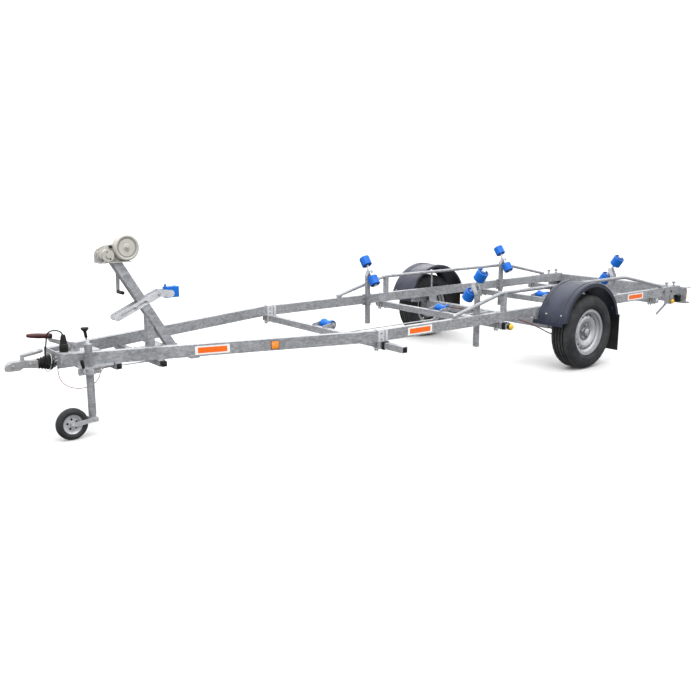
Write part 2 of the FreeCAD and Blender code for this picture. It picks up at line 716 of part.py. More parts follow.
def winch_stand():
    base_top = RAIL_Z0 + BASE_H
    half = STAND / 2
    base = box(BASE_REAR_X, BASE_FRONT_X, -half, half, RAIL_Z0, base_top)
    run = V(STAND_TOP_X - STAND_FOOT_X, 0, STAND_TOP_Z - base_top)
    lean = math.atan2(run.x, run.z)
    reach = half / math.cos(lean)

    def leaning(shrink, z0, z1):
        def x_at(z):
            return STAND_FOOT_X + (z - base_top) * math.tan(lean)
        r = reach - shrink / math.cos(lean)
        outline = [(x_at(z0) - r, z0), (x_at(z0) + r, z0), (x_at(z1) + r, z1), (x_at(z1) - r, z1)]
        return plate_xz(outline, -half + shrink, half - shrink)

    post = leaning(0, base_top, STAND_TOP_Z)
    hollow = leaning(STAND_WALL, base_top - 1, STAND_TOP_Z + 1)
    strut_half = STRUT / 2
    strut_top = base_top + (STRUT_X - STAND_FOOT_X) / math.tan(lean)
    strut = box(STRUT_X - strut_half, STRUT_X + strut_half, -strut_half, strut_half, base_top, strut_top)
    inner = strut_half - STAND_WALL
    strut = strut.cut(box(STRUT_X - inner, STRUT_X + inner, -inner, inner, base_top - 1, strut_top + 1))
    strut = strut.cut(post)
    NODES["winch_stand"] = joined(base, post.cut(hollow), strut)

    half_beam = rail_y(WINCH_BEAM_X) + WINCH_BEAM_OVERHANG
    front = square_tube(WINCH_BEAM_X, -half_beam, half_beam, RAIL_Z0 - WINCH_BEAM, WINCH_BEAM, BEAM_WALL)
    half_strap = rail_y(WINCH_STRAP_X)
    strap = box(WINCH_STRAP_X - 30, WINCH_STRAP_X + 30, -half_strap, half_strap,
                RAIL_Z0 - WINCH_STRAP_T, RAIL_Z0)
    NODES["winch_crossbeams"] = Part.makeCompound([front, strap])


def winch():
    z0 = STAND_TOP_Z
    outline = [
        (WINCH_REAR_X, z0), (WINCH_FRONT_X, z0), (WINCH_FRONT_X, z0 + 58), (WINCH_FRONT_X - 16, z0 + 84),
        (WINCH_FRONT_X - 60, z0 + 104), (DRUM_X + 26, DRUM_Z + 22), (DRUM_X - 18, DRUM_Z + 22),
        (WINCH_REAR_X, DRUM_Z - 22),
    ]
    base = box(WINCH_REAR_X, WINCH_FRONT_X, WINCH_OUTER_Y, WINCH_INNER_Y + 44, z0, z0 + WINCH_T)
    inner_side = plate_xz(outline, WINCH_INNER_Y - WINCH_T, WINCH_INNER_Y)
    outer_side = plate_xz(outline, WINCH_OUTER_Y, WINCH_OUTER_Y + WINCH_T)
    tie = rod(V(WINCH_FRONT_X - 24, WINCH_OUTER_Y, z0 + 60), V(WINCH_FRONT_X - 24, WINCH_INNER_Y, z0 + 60), 7)
    cover_y = WINCH_INNER_Y + GEAR_CASE_W - 12
    cover = rod(V(PINION_X, WINCH_INNER_Y, PINION_Z), V(PINION_X, cover_y, PINION_Z), PINION_R)
    boss = rod(V(PINION_X, cover_y, PINION_Z), V(PINION_X, cover_y + 10, PINION_Z), 15)
    pawl_x = WINCH_FRONT_X - 22
    pawl = rod(V(pawl_x, WINCH_INNER_Y, z0 + 50), V(pawl_x, WINCH_INNER_Y + 26, z0 + 50), 20)
    mechanism = joined(cover, boss, pawl)
    mechanism = mechanism.cut(rod(V(DRUM_X, 0, DRUM_Z), V(DRUM_X, cover_y + 11, DRUM_Z), GEAR_CASE_R + 0.4))
    NODES["winch_frame"] = joined(base, inner_side, outer_side, tie, mechanism)

    case_y1 = WINCH_INNER_Y + GEAR_CASE_W
    y0 = WINCH_INNER_Y
    profile = [
        (0, y0), (GEAR_CASE_R - 6, y0), (GEAR_CASE_R, y0 + 6), (GEAR_CASE_R, case_y1 - 10),
        (GEAR_CASE_R - 8, case_y1), (GEAR_CASE_R - 16, case_y1), (GEAR_CASE_R - 20, case_y1 - 5),
        (24, case_y1 - 5), (20, case_y1), (0, case_y1),
    ]
    case = turned(profile, V(DRUM_X, 0, DRUM_Z))
    foot = z0 + WINCH_T
    case = case.cut(box(WINCH_REAR_X - 30, WINCH_FRONT_X, y0 - 1, case_y1 + 1, z0 - 50, foot))
    spool_y1 = WINCH_INNER_Y - WINCH_T
    spool = rod(V(DRUM_X, WINCH_OUTER_Y + WINCH_T, DRUM_Z), V(DRUM_X, spool_y1, DRUM_Z), SPOOL_R)
    NODES["winch_drum"] = Part.makeCompound([case, spool])

    y_arm = WINCH_OUTER_Y - 10
    shaft = rod(V(CRANK_X, WINCH_OUTER_Y, CRANK_Z), V(CRANK_X, y_arm - CRANK_ARM_T, CRANK_Z), CRANK_SHAFT_R)
    arm = link_xz(CRANK_X, CRANK_Z, CRANK_ARM_W / 2 + 3, CRANK_X + 8, CRANK_Z - CRANK_ARM, CRANK_ARM_W / 2,
                  y_arm - CRANK_ARM_T, y_arm)
    grip_base = V(CRANK_X + 8, y_arm, CRANK_Z - CRANK_ARM)
    grip = rod(grip_base, grip_base + V(0, GRIP_L, 0), GRIP_R)
    NODES["winch_crank"] = joined(arm, shaft, grip)


def bow_stop():
    """A slotted channel that straddles the winch stand, with the bow block in its level rear fork."""
    run = V(BOW_FRONT_X - BOW_KNEE_X, 0, BOW_FRONT_Z - BOW_KNEE_Z)
    length = run.Length
    lean = math.degrees(math.atan2(-run.z, run.x))
    place = FreeCAD.Placement(V(BOW_KNEE_X, 0, BOW_KNEE_Z), FreeCAD.Rotation(V(0, 1, 0), lean))
    half = STAND / 2
    sides = []
    for y0 in (half, -half - BOW_T):
        side = link_xz(0, 0, BOW_H / 2, length, 0, BOW_H / 2 - 0.01, y0, y0 + BOW_T)
        slot = link_xz(length - 30 - BOW_SLOT_L, 0, BOW_SLOT_W / 2, length - 30, 0, BOW_SLOT_W / 2 - 0.01,
                       y0 - 1, y0 + BOW_T + 1)
        side = side.cut(slot)
        side.Placement = place
        fork = link_xz(BOW_REAR_X, BOW_REAR_Z, BOW_H / 2 - 0.01, BOW_KNEE_X, BOW_KNEE_Z, BOW_H / 2,
                       y0, y0 + BOW_T)
        sides.append(joined(side, fork))
    bridge = box(length - 14, length + 8, -half - BOW_T, half + BOW_T, -BOW_H / 2 + 4, -BOW_H / 2 + 9)
    bridge.Placement = place
    NODES["bow_arm"] = joined(sides[0], sides[1], bridge)
    x0 = BLOCK_X - BLOCK_L / 2
    x1 = BLOCK_X + BLOCK_L / 2
    z0 = BLOCK_Z - BLOCK_H / 2
    z1 = BLOCK_Z + BLOCK_H / 2
    w = half - 0.5
    notch = BLOCK_NOTCH
    outline = [(x0, -w), (x0, -w * 0.55), (x0 + notch, -4), (x0 + notch, 4), (x0, w * 0.55), (x0, w),
               (x1 - 12, w), (x1, w - 12), (x1, -w + 12), (x1 - 12, -w)]
    NODES["bow_block"] = plate_xy(outline, z0, z1)


def overrun_device():
    plate_x = RAIL_FRONT_X
    half = NOSE_SPAN / 2 + PLATE_MARGIN
    plate = box(plate_x, plate_x + PLATE_T, -half, half, RAIL_Z0 - PLATE_MARGIN, RAIL_TOP + PLATE_MARGIN)
    shell = box(HOUSING_REAR_X, plate_x, -HOUSING_HALF, HOUSING_HALF, HOUSING_LOW_Z, HOUSING_TOP_Z)
    t = HOUSING_T
    shell = shell.cut(box(HOUSING_REAR_X - 1, plate_x + 1, -HOUSING_HALF + t, HOUSING_HALF - t,
                          HOUSING_LOW_Z - 1, HOUSING_TOP_Z - t))
    boss = rod(V(plate_x, 0, COUPLING_Z), V(plate_x + PLATE_T + BOSS_L, 0, COUPLING_Z), BOSS_R)
    bush = rod(V(HOUSING_REAR_X, 0, COUPLING_Z), V(HOUSING_REAR_X + 30, 0, COUPLING_Z), BOSS_R)
    web = box(HOUSING_REAR_X, HOUSING_REAR_X + 10, -HOUSING_HALF, HOUSING_HALF, HOUSING_LOW_Z, HOUSING_TOP_Z)
    bore = rod(V(HOUSING_REAR_X - 1, 0, COUPLING_Z), V(plate_x + 60, 0, COUPLING_Z), SHAFT_R + 0.1)
    body = joined(plate, shell, boss, bush, web).cut(bore)
    NODES["overrun_housing"] = body

    shaft = rod(V(HOUSING_REAR_X + 4, 0, COUPLING_Z), V(HEAD_REAR_X + 20, 0, COUPLING_Z), SHAFT_R)
    outline = [
        (HEAD_REAR_X, COUPLING_Z - 26), (HEAD_REAR_X, COUPLING_Z + 26), (HEAD_REAR_X + 46, HEAD_TOP_Z - 6),
        (HEAD_REAR_X + 70, HEAD_TOP_Z), (HEAD_FRONT_X - 34, HEAD_TOP_Z), (HEAD_FRONT_X - 8, HEAD_TOP_Z - 16),
        (HEAD_FRONT_X, HEAD_TOP_Z - 32), (HEAD_FRONT_X, HEAD_LOW_Z), (BALL_X - 40, HEAD_LOW_Z),
        (BALL_X - 62, COUPLING_Z - 12),
    ]
    body = plate_xz(outline, -HEAD_HALF, HEAD_HALF)
    nose = [(HEAD_REAR_X, -27), (HEAD_REAR_X + 60, -24), (BALL_X - 36, -HEAD_HALF), (BALL_X + 14, -HEAD_HALF),
            (HEAD_FRONT_X, -16), (HEAD_FRONT_X, 16), (BALL_X + 14, HEAD_HALF), (BALL_X - 36, HEAD_HALF),
            (HEAD_REAR_X + 60, 24), (HEAD_REAR_X, 27)]
    body = body.common(plate_xy(nose, HEAD_LOW_Z - 1, HEAD_TOP_Z + 1))
    ball = BALL_R + BALL_FIT
    cavity = Part.makeSphere(ball, V(BALL_X, 0, COUPLING_Z)).fuse(
        rod(V(BALL_X, 0, HEAD_LOW_Z - 1), V(BALL_X, 0, COUPLING_Z), ball))
    body = body.cut(cavity)
    pivot = rod(V(BALL_X - 66, -16, HEAD_TOP_Z + 6), V(BALL_X - 66, 16, HEAD_TOP_Z + 6), 9)
    upright = plate_xz([(BALL_X - 76, HEAD_TOP_Z - 2), (BALL_X - 56, HEAD_TOP_Z - 2),
                        (BALL_X - 60, HEAD_TOP_Z + 36), (BALL_X - 78, HEAD_TOP_Z + 30)], -12, 12)
    lever = plate_xz([(BALL_X - 78, HEAD_TOP_Z + 24), (BALL_X - 60, HEAD_TOP_Z + 36),
                      (BALL_X - 186, HEAD_TOP_Z + 52), (BALL_X - 188, HEAD_TOP_Z + 42)], -12, 12)
    NODES["coupling_head"] = joined(body, shaft, pivot, upright, lever)

    front = HEAD_REAR_X - 1
    rear = RAIL_FRONT_X + PLATE_T + BOSS_L - 18
    bore_r = BOSS_R + 0.3
    pitch = (front - rear) / GAITER_FOLDS
    profile = []
    for i in range(GAITER_FOLDS):
        x = rear + i * pitch
        r = GAITER_R + GAITER_FOLD - GAITER_TAPER * i
        profile += [(r - GAITER_FOLD * 0.8, x), (r, x + pitch / 2)]
    profile.append((SHAFT_R + 6, front))
    profile += [(SHAFT_R + 0.4, front), (SHAFT_R + 0.4, rear + 19), (bore_r, rear + 19), (bore_r, rear)]
    NODES["drawbar_gaiter"] = turned(profile, V(0, 0, COUPLING_Z), V(1, 0, 0))


def handbrake():
    """A flat lever that rises forward from a bracket on the housing, with a grip at its end."""
    half = BRAKE_LEVER_T / 2
    x, z = BRAKE_PIVOT
    arm = link_xz(x, z, 18, BRAKE_KNEE[0], BRAKE_KNEE[1], 12, -half, half)
    rise = link_xz(BRAKE_KNEE[0], BRAKE_KNEE[1], 12, BRAKE_GRIP[0][0] + 6, BRAKE_GRIP[0][1], 9, -half, half)
    grip = rod(V(BRAKE_GRIP[0][0], 0, BRAKE_GRIP[0][1]), V(BRAKE_GRIP[1][0], 0, BRAKE_GRIP[1][1]), GRIP_R)
    pin = rod(V(x, -26, z), V(x, 26, z), 8)
    ears = [plate_xz([(x - 34, HOUSING_TOP_Z), (x + 34, HOUSING_TOP_Z), (x + 16, z + 14), (x - 16, z + 14)],
                     y0, y0 + 5) for y0 in (half + 3, -half - 8)]
    NODES["handbrake_lever"] = joined(arm, rise, grip, pin, *ears)


def jockey():
    x = JOCKEY_X
    y = JOCKEY_Y
    inner_r = JOCKEY_OUTER_R - JOCKEY_WALL
    outer = rod(V(x, y, JOCKEY_LOW_Z), V(x, y, JOCKEY_TOP_Z), JOCKEY_OUTER_R)
    outer = outer.cut(rod(V(x, y, JOCKEY_LOW_Z - 1), V(x, y, JOCKEY_TOP_Z + 1), inner_r))
    cap = rod(V(x, y, JOCKEY_TOP_Z), V(x, y, JOCKEY_TOP_Z + 14), JOCKEY_OUTER_R + 2)
    arm = rod(V(x, y, JOCKEY_TOP_Z + 8), V(x + 14, y, JOCKEY_TOP_Z + 96), 6)
    knob_z = JOCKEY_TOP_Z + 94
    knob = Part.makeCone(10, 24, 16, V(x + 14, y, knob_z)).fuse(
        Part.makeCylinder(24, 10, V(x + 14, y, knob_z + 16)))
    NODES["jockey_outer_tube"] = joined(outer, cap, arm, knob)

    slide_r = inner_r - JOCKEY_FIT
    tube_low = FORK_TOP_Z + 1
    tube = rod(V(x, y, tube_low), V(x, y, JOCKEY_TOP_Z - 20), slide_r)
    tube = tube.cut(rod(V(x, y, tube_low + 12), V(x, y, JOCKEY_TOP_Z), slide_r - JOCKEY_WALL))
    spigot = rod(V(x, y, FORK_LOW_Z + 4), V(x, y, tube_low), 9)
    NODES["jockey_inner_tube"] = joined(tube, spigot)

    half = JOCKEY_W / 2 + FORK_GAP
    wheel_x = x + JOCKEY_TRAIL
    crown = box(x - 24, x + 22, y - half - FORK_T, y + half + FORK_T, FORK_LOW_Z, FORK_TOP_Z)
    crown = crown.cut(rod(V(x, y, FORK_LOW_Z + 3), V(x, y, FORK_TOP_Z + 1), 9 + PIN_FIT))
    arms = [link_xz(x + 6, (FORK_LOW_Z + FORK_TOP_Z) / 2, 14, wheel_x, JOCKEY_R, 15, y0, y0 + FORK_T)
            for y0 in (y + half, y - half - FORK_T)]
    pin = rod(V(wheel_x, y - half - FORK_T - 6, JOCKEY_R), V(wheel_x, y + half + FORK_T + 6, JOCKEY_R),
              JOCKEY_AXLE_R)
    NODES["jockey_fork"] = joined(crown, pin, *arms)

    w = JOCKEY_W / 2
    rim_r = JOCKEY_RIM_R
    tyre_profile = [
        (rim_r + 0.3, -w + 6), (rim_r + 10, -w + 2), (JOCKEY_R - 20, -w), (JOCKEY_R - 7, -w + 5),
        (JOCKEY_R, -w + 14), (JOCKEY_R, w - 14), (JOCKEY_R - 7, w - 5), (JOCKEY_R - 20, w),
        (rim_r + 10, w - 2), (rim_r + 0.3, w - 6),
    ]
    NODES["jockey_tyre"] = turned(tyre_profile, V(wheel_x, y, JOCKEY_R))
    hub = JOCKEY_AXLE_R + PIN_FIT
    rim_profile = [
        (hub, -w - 2), (16, -w - 2), (16, -8), (44, -6), (rim_r - 6, -w + 8), (rim_r - 1, -w + 4),
        (rim_r, -w + 8), (rim_r, w - 8), (rim_r - 1, w - 4), (rim_r - 6, w - 8), (44, 6), (16, 8),
        (16, w + 2), (hub, w + 2),
    ]
    NODES["jockey_rim"] = turned(rim_profile, V(wheel_x, y, JOCKEY_R))

    rear = x - 152
    front = x + 60
    y_in = rail_y(front, RAIL_W)
    y_out = y + 34
    outline = [(rear, rail_y(rear, RAIL_W)), (rear, rail_y(rear) + 6), (x - 62, y_out), (front, y_out),
               (front, y_in)]
    shelf = plate_xy(outline, CLAMP_Z1, RAIL_Z0)
    ears = box(x - 70, x + 70, y - 12, y + 12, CLAMP_Z0, CLAMP_Z1)
    ring = rod(V(x, y, CLAMP_Z0), V(x, y, CLAMP_Z1), JOCKEY_OUTER_R + 12)
    toggle = rod(V(x + 48, y + 12, CLAMP_Z1 - 16), V(x + 48, y + 52, CLAMP_Z1 - 16), 6)
    handle = rod(V(x + 48, y + 46, CLAMP_Z1 - 18), V(x + 56, y + 46, CLAMP_Z1 + 34), 7)
    clamp = joined(shelf, ears, ring, toggle, handle)
    NODES["jockey_clamp"] = clamp.cut(rod(V(x, y, CLAMP_Z0 - 1), V(x, y, RAIL_Z0 + 1), JOCKEY_OUTER_R + 0.1))


def light_board():
    """A channel across the back that slides out on two sleeves round the rails."""
    x1 = BOARD_X
    x0 = x1 - BOARD_FLANGE
    t = BOARD_T
    web = box(x1 - t, x1, -BOARD_HALF, BOARD_HALF, BOARD_Z0, BOARD_Z1)
    flanges = [box(x0, x1, -BOARD_HALF, BOARD_HALF, z, z + t) for z in (BOARD_Z0, BOARD_Z1 - t)]
    lips = [box(x0, x0 + t, -BOARD_HALF, BOARD_HALF, z, z + 12) for z in (BOARD_Z0, BOARD_Z1 - 12)]
    board = joined(web, *(flanges + lips))
    g = SLEEVE_GAP
    y0 = HALF_SPAN - RAIL_W - g
    y1 = HALF_SPAN + g
    z0 = RAIL_Z0 - g
    z1 = RAIL_TOP + g
    s = SLEEVE_T
    sleeve = box(x1, SLEEVE_FRONT_X, y0 - s, y1 + s, z0 - s, z1 + s)
    sleeve = sleeve.cut(box(x1 - 1, SLEEVE_FRONT_X + 1, y0, y1, z0, z1))
    extras = []
    y_mid = HALF_SPAN - RAIL_W / 2
    for x in KNOB_XS:
        boss = rod(V(x, y_mid, z1 + s), V(x, y_mid, z1 + s + 10), 11)
        stem = rod(V(x, y_mid, z1 + s + 10), V(x, y_mid, z1 + s + 26), 6)
        head = rod(V(x, y_mid, z1 + s + 24), V(x, y_mid, z1 + s + 44), 17)
        extras += [boss, stem, head]
    gusset = plate_xz([(x1, BOARD_Z0 + 10), (x1, z0 - s), (x1 + 150, z0 - s)], y_mid - 3, y_mid + 3)
    side = joined(sleeve, gusset, *extras)
    back = box(x1, x1 + 46, y_mid - BACK_PLATE / 2, y_mid + BACK_PLATE / 2, BOARD_Z0 + 15, z0 - s - 7)
    bracket = box(MARKER_X - 25, MARKER_X + 25, y_mid, y1 + s, MARKER_Z - 26, z0 - s)
    side = joined(side, back, bracket)
    hang = box(HANG_X - 45, HANG_X + 35, y1 + s, y1 + s + HANG_T, HANG_Z - 16, z1)
    bar_y = y1 + s + HANG_T
    bar = link_xz(HANG_X, HANG_Z, 13, HANG_X + HANG_RUN, HANG_Z - HANG_DROP, 12, bar_y, bar_y + HANG_T)
    NODES["light_board"] = joined(board, side, mirrored(side), hang, bar)

    lamp_y1 = BOARD_HALF - LAMP_EDGE
    lamp_z = (BOARD_Z0 + BOARD_Z1) / 2
    lamp = box(x0 + 8, x1 - t, lamp_y1 - LAMP_W, lamp_y1, lamp_z - LAMP_H / 2, lamp_z + LAMP_H / 2)
    marker = rod(V(MARKER_X, y1 + s, MARKER_Z), V(MARKER_X, y1 + s + 14, MARKER_Z), MARKER_R)
    NODES["rear_lamps"] = Part.makeCompound([lamp, mirrored(lamp), marker, mirrored(marker)])


def brake_route(sign):
    """The way of a brake cable from the equaliser to the lower part of its backplate."""
    drum_face = HUB_FACE_Y - DRUM_W - DRUM_GAP - BACKPLATE_T
    x = ROD_REAR_X - 4
    z = ROD_Z - 2
    route = [V(x, ROD_Y + sign * 70, z), V(x, sign * (HALF_SPAN - 494), z)]
    for ahead, out, up in ((68, -294, 10), (62, -114, -24), (40, 18, -72)):
        route.append(V(AXLE_X + ahead, sign * (HALF_SPAN + out), AXLE_Z + up))
    end_x = AXLE_X / 2
    end_z = TYRE_R - 53
    route.append(V(AXLE_X - 29, sign * (drum_face - 83), end_z + 2))
    route.append(V(end_x, sign * (drum_face - 38), end_z))
    route.append(V(end_x, sign * drum_face, end_z))
    return route


def brake_linkage():
    front = V(HOUSING_REAR_X + 24, ROD_Y, ROD_Z)
    bar = rod(V(ROD_REAR_X, ROD_Y, ROD_Z), front, ROD_R)
    lever_top = HOUSING_TOP_Z - HOUSING_T
    lever = box(HOUSING_REAR_X + 12, HOUSING_REAR_X + 36, ROD_Y - 4, ROD_Y + 4, ROD_Z - 10, lever_top)
    axle_face = AXLE_X + AXLE_TUBE / 2
    equaliser = box(ROD_REAR_X - 8, ROD_REAR_X, ROD_Y - 70, ROD_Y + 70, ROD_Z - 14, ROD_Z + 10)
    anchor = box(axle_face, ROD_REAR_X, ROD_Y - 5, ROD_Y + 5, ROD_Z - 14, ROD_Z + 10)
    NODES["brake_rod"] = joined(bar, lever, equaliser, anchor)
    left = cable(brake_route(1), BOWDEN_R, "left brake cable")
    right = cable(brake_route(-1), BOWDEN_R, "right brake cable")
    NODES["brake_cables"] = Part.makeCompound([left, right])
    half = rail_y(DRAW_BEAM_X) + DRAW_BEAM_OVERHANG
    NODES["drawbar_crossbeam"] = square_tube(DRAW_BEAM_X, -half, half, RAIL_Z0 - DRAW_BEAM,
                                             DRAW_BEAM, BEAM_WALL)


def electrics():
    """The parked connector on a small plate by the nose, its lead, and the thin breakaway cable."""
    plate_top = RAIL_TOP + PLUG_PLATE_T
    plate = box(PLUG_X - 30, PLUG_X + 30, PLUG_Y - 30, PLUG_Y + 48, RAIL_TOP, plate_top)
    body = rod(V(PLUG_X, PLUG_Y, plate_top), V(PLUG_X, PLUG_Y, plate_top + 44), 26)
    neck = Part.makeCone(21, 12, PLUG_TOP_Z - plate_top - 44, V(PLUG_X, PLUG_Y, plate_top + 44))
    NODES["connector_plug"] = joined(plate, body, neck)
    nose = RAIL_FRONT_X + PLATE_T
    NODES["connector_lead"] = cable([
        V(PLUG_X, PLUG_Y, PLUG_TOP_Z), V(PLUG_X, PLUG_Y, PLUG_TOP_Z + 40), V(4161, 81, 682), V(4201, 68, 684),
        V(4231, 59, 656), V(4241, 56, 605), V(4251, 58, 550), V(4254, 62, 494), V(4224, 66, COUPLING_Z),
        V(nose, 66, COUPLING_Z),
    ], LEAD_R, "connector lead")
    NODES["breakaway_cable"] = cable([
        V(4175, 72, RAIL_Z0 - PLATE_MARGIN), V(4175, 72, 402), V(4172, 96, 356), V(4145, 128, 320),
        V(4098, 148, 302), V(4046, 158, 298), V(3993, 164, 311), V(3952, 168, 346), V(3938, 170, 392),
        V(3908, 175, 424), V(DRAW_BEAM_X + DRAW_BEAM / 2, 175, 424),
    ], BREAKAWAY_R, "breakaway cable")


def markers():
    """Round amber side markers on the middle crossbeam's ends."""
    z = BEAM_Z0 + BEAM / 2
    solids = []
    for sign, reach in ((1, MIDDLE_BEAM_REACH), (-1, 0)):
        base = V(MIDDLE_BEAM_X, sign * (HALF_SPAN + BEAM_OVERHANG + reach), z)
        solids.append(rod(base, base + V(0, sign * MARKER_T, 0), MARKER_R + 2))
    NODES["side_markers"] = Part.makeCompound(solids)


def main():
    rails()
    crossbeams()
    wheels()
    axle()
    mudguards()
    guide_tubes()
    side_supports()
    winch_stand()
    winch()
    bow_stop()
    overrun_device()
    handbrake()
    jockey()
    light_board()
    brake_linkage()
    electrics()
    markers()
    os.makedirs("parts", exist_ok=True)
    for name, shape in NODES.items():
        placed = shape.copy()
        placed.translate(V(-X_MID, 0, 0))
        placed.exportStep("parts/%s.step" % name)


main()
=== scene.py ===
from math import atan2, cos, hypot, pi, radians, sin, sqrt, tan

import bmesh
import bpy
from mathutils import Matrix, Vector


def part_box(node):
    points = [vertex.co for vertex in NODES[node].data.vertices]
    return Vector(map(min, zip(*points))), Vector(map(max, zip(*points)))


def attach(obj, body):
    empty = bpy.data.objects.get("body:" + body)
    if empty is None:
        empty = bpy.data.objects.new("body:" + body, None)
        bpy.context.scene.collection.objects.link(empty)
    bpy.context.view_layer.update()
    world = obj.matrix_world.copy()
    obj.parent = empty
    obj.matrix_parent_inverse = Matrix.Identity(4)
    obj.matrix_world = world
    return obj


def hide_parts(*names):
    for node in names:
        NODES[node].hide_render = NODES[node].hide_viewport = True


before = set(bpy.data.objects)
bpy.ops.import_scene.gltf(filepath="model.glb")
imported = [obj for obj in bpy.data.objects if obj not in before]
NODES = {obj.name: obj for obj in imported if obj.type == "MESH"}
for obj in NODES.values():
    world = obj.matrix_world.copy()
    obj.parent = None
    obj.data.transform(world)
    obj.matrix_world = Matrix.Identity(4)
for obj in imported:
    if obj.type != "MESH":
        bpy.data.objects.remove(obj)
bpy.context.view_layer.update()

MM = 0.001

# The photographed view: the camera's place in metres, where it looks, and its lens in millimetres
CAMERA_PLACE = (4.619, 5.1504, 1.6038)
CAMERA_HEADING = radians(-128.505)
CAMERA_PITCH = radians(11.864)
CAMERA_LENS = 42.247


# materials

class Shader:
    """A principled material with object coordinates and a few helpers for its node tree."""

    def __init__(self, name, metallic=0.0, roughness=0.5, **sockets):
        self.mat = bpy.data.materials.new(name)
        self.mat.use_nodes = True
        self.tree = self.mat.node_tree
        self.bsdf = self.tree.nodes["Principled BSDF"]
        self.bsdf.inputs["Metallic"].default_value = metallic
        self.bsdf.inputs["Roughness"].default_value = roughness
        for key, value in sockets.items():
            self.bsdf.inputs[key.replace("_", " ")].default_value = value
        self.coords = self.tree.nodes.new("ShaderNodeTexCoord").outputs["Object"]

    def link(self, a, b):
        self.tree.links.new(a, b)

    def stretched(self, scale):
        """The object's coordinates, scaled along each axis."""
        node = self.tree.nodes.new("ShaderNodeMapping")
        node.inputs["Scale"].default_value = scale
        self.link(self.coords, node.inputs["Vector"])
        return node.outputs["Vector"]

    def noise(self, scale, detail=3.0, rough=0.55):
        node = self.tree.nodes.new("ShaderNodeTexNoise")
        node.inputs["Scale"].default_value = scale
        node.inputs["Detail"].default_value = detail
        node.inputs["Roughness"].default_value = rough
        self.link(self.coords, node.inputs["Vector"])
        return node.outputs["Fac"]

    def cells(self, scale, vector):
        """One grey value for each cell of a crystal pattern."""
        node = self.tree.nodes.new("ShaderNodeTexVoronoi")
        node.inputs["Scale"].default_value = scale
        self.link(vector, node.inputs["Vector"])
        grey = self.tree.nodes.new("ShaderNodeSeparateColor")
        self.link(node.outputs["Color"], grey.inputs["Color"])
        return grey.outputs["Red"]

    def ribs(self, scale):
        """Even bands, one above another."""
        node = self.tree.nodes.new("ShaderNodeTexWave")
        node.bands_direction = "Z"
        node.inputs["Scale"].default_value = scale
        node.inputs["Distortion"].default_value = 0.0
        self.link(self.coords, node.inputs["Vector"])
        return node.outputs["Fac"]

    def mixed(self, a, b, share=0.5):
        node = self.tree.nodes.new("ShaderNodeMix")
        node.inputs["Factor"].default_value = share
        self.link(a, node.inputs["A"])
        self.link(b, node.inputs["B"])
        return node.outputs["Result"]

    def ranged(self, value, low, high):
        """Spreads the middle of a noise's values over a range."""
        node = self.tree.nodes.new("ShaderNodeMapRange")
        for key, number in (("From Min", 0.3), ("From Max", 0.7), ("To Min", low), ("To Max", high)):
            node.inputs[key].default_value = number
        self.link(value, node.inputs["Value"])
        return node.outputs["Result"]

    def ramp(self, value, stops):
        """A colour for each value, from (place, colour) stops."""
        node = self.tree.nodes.new("ShaderNodeValToRGB")
        node.color_ramp.elements[0].position = stops[0][0]
        node.color_ramp.elements[0].color = (*stops[0][1], 1)
        node.color_ramp.elements[1].position = stops[-1][0]
        node.color_ramp.elements[1].color = (*stops[-1][1], 1)
        for place, colour in stops[1:-1]:
            node.color_ramp.elements.new(place).color = (*colour, 1)
        self.link(value, node.inputs["Fac"])
        return node.outputs["Color"]

    def colour(self, output):
        self.link(output, self.bsdf.inputs["Base Color"])

    def rough(self, output):
        self.link(output, self.bsdf.inputs["Roughness"])

    def bump(self, height, distance, strength):
        node = self.tree.nodes.new("ShaderNodeBump")
        node.inputs["Strength"].default_value = strength
        node.inputs["Distance"].default_value = distance
        self.link(height, node.inputs["Height"])
        self.link(node.outputs["Normal"], self.bsdf.inputs["Normal"])


def galvanised(name, dark, light, metallic, spangle=55.0):
    """Hot-dip zinc: small crystals over a slow cloudy tone, with a slightly uneven skin."""
    s = Shader(name, metallic=metallic)
    crystals = s.cells(spangle, s.stretched((1.0, 1.0, 1.7)))
    cloud = s.noise(5.0, 5.0, 0.6)
    both = s.mixed(crystals, cloud, 0.62)
    middle = tuple((a + b) / 2 for a, b in zip(dark, light))
    s.colour(s.ramp(both, [(0.28, dark), (0.5, middle), (0.72, light)]))
    s.rough(s.ranged(s.mixed(crystals, s.noise(14.0, 4.0), 0.5), 0.34, 0.56))
    s.bump(s.mixed(s.noise(260.0, 3.0), s.noise(30.0, 2.0), 0.5), 0.0006, 0.35)
    return s.mat


def rubber(name, dark, light, roughness, grain=420.0, depth=0.0005):
    """Dull rubber, a little cloudy, with a fine grain."""
    s = Shader(name, Specular_IOR_Level=0.28)
    s.colour(s.ramp(s.noise(9.0, 5.0, 0.65), [(0.35, dark), (0.68, light)]))
    s.rough(s.ranged(s.noise(26.0, 4.0), *roughness))
    s.bump(s.noise(grain, 2.0), depth, 0.5)
    return s.mat


def moulded(name, dark, light, roughness, grain=700.0, depth=0.0003, coat=0.0, shine=0.4):
    """Moulded plastic, or paint where it has a coat."""
    s = Shader(name, Coat_Weight=coat, Specular_IOR_Level=shine)
    s.colour(s.ramp(s.noise(4.0, 4.0, 0.6), [(0.3, dark), (0.7, light)]))
    s.rough(s.ranged(s.noise(11.0, 5.0), *roughness))
    s.bump(s.noise(grain, 2.0), depth, 0.4)
    return s.mat


def lens(name, dark, light, scale=160.0):
    """A ribbed plastic lens."""
    s = Shader(name, roughness=0.22, Coat_Weight=0.2, Coat_Roughness=0.08)
    s.colour(s.ramp(s.noise(30.0, 2.0), [(0.3, dark), (0.7, light)]))
    s.bump(s.ribs(scale), 0.0012, 0.6)
    return s.mat


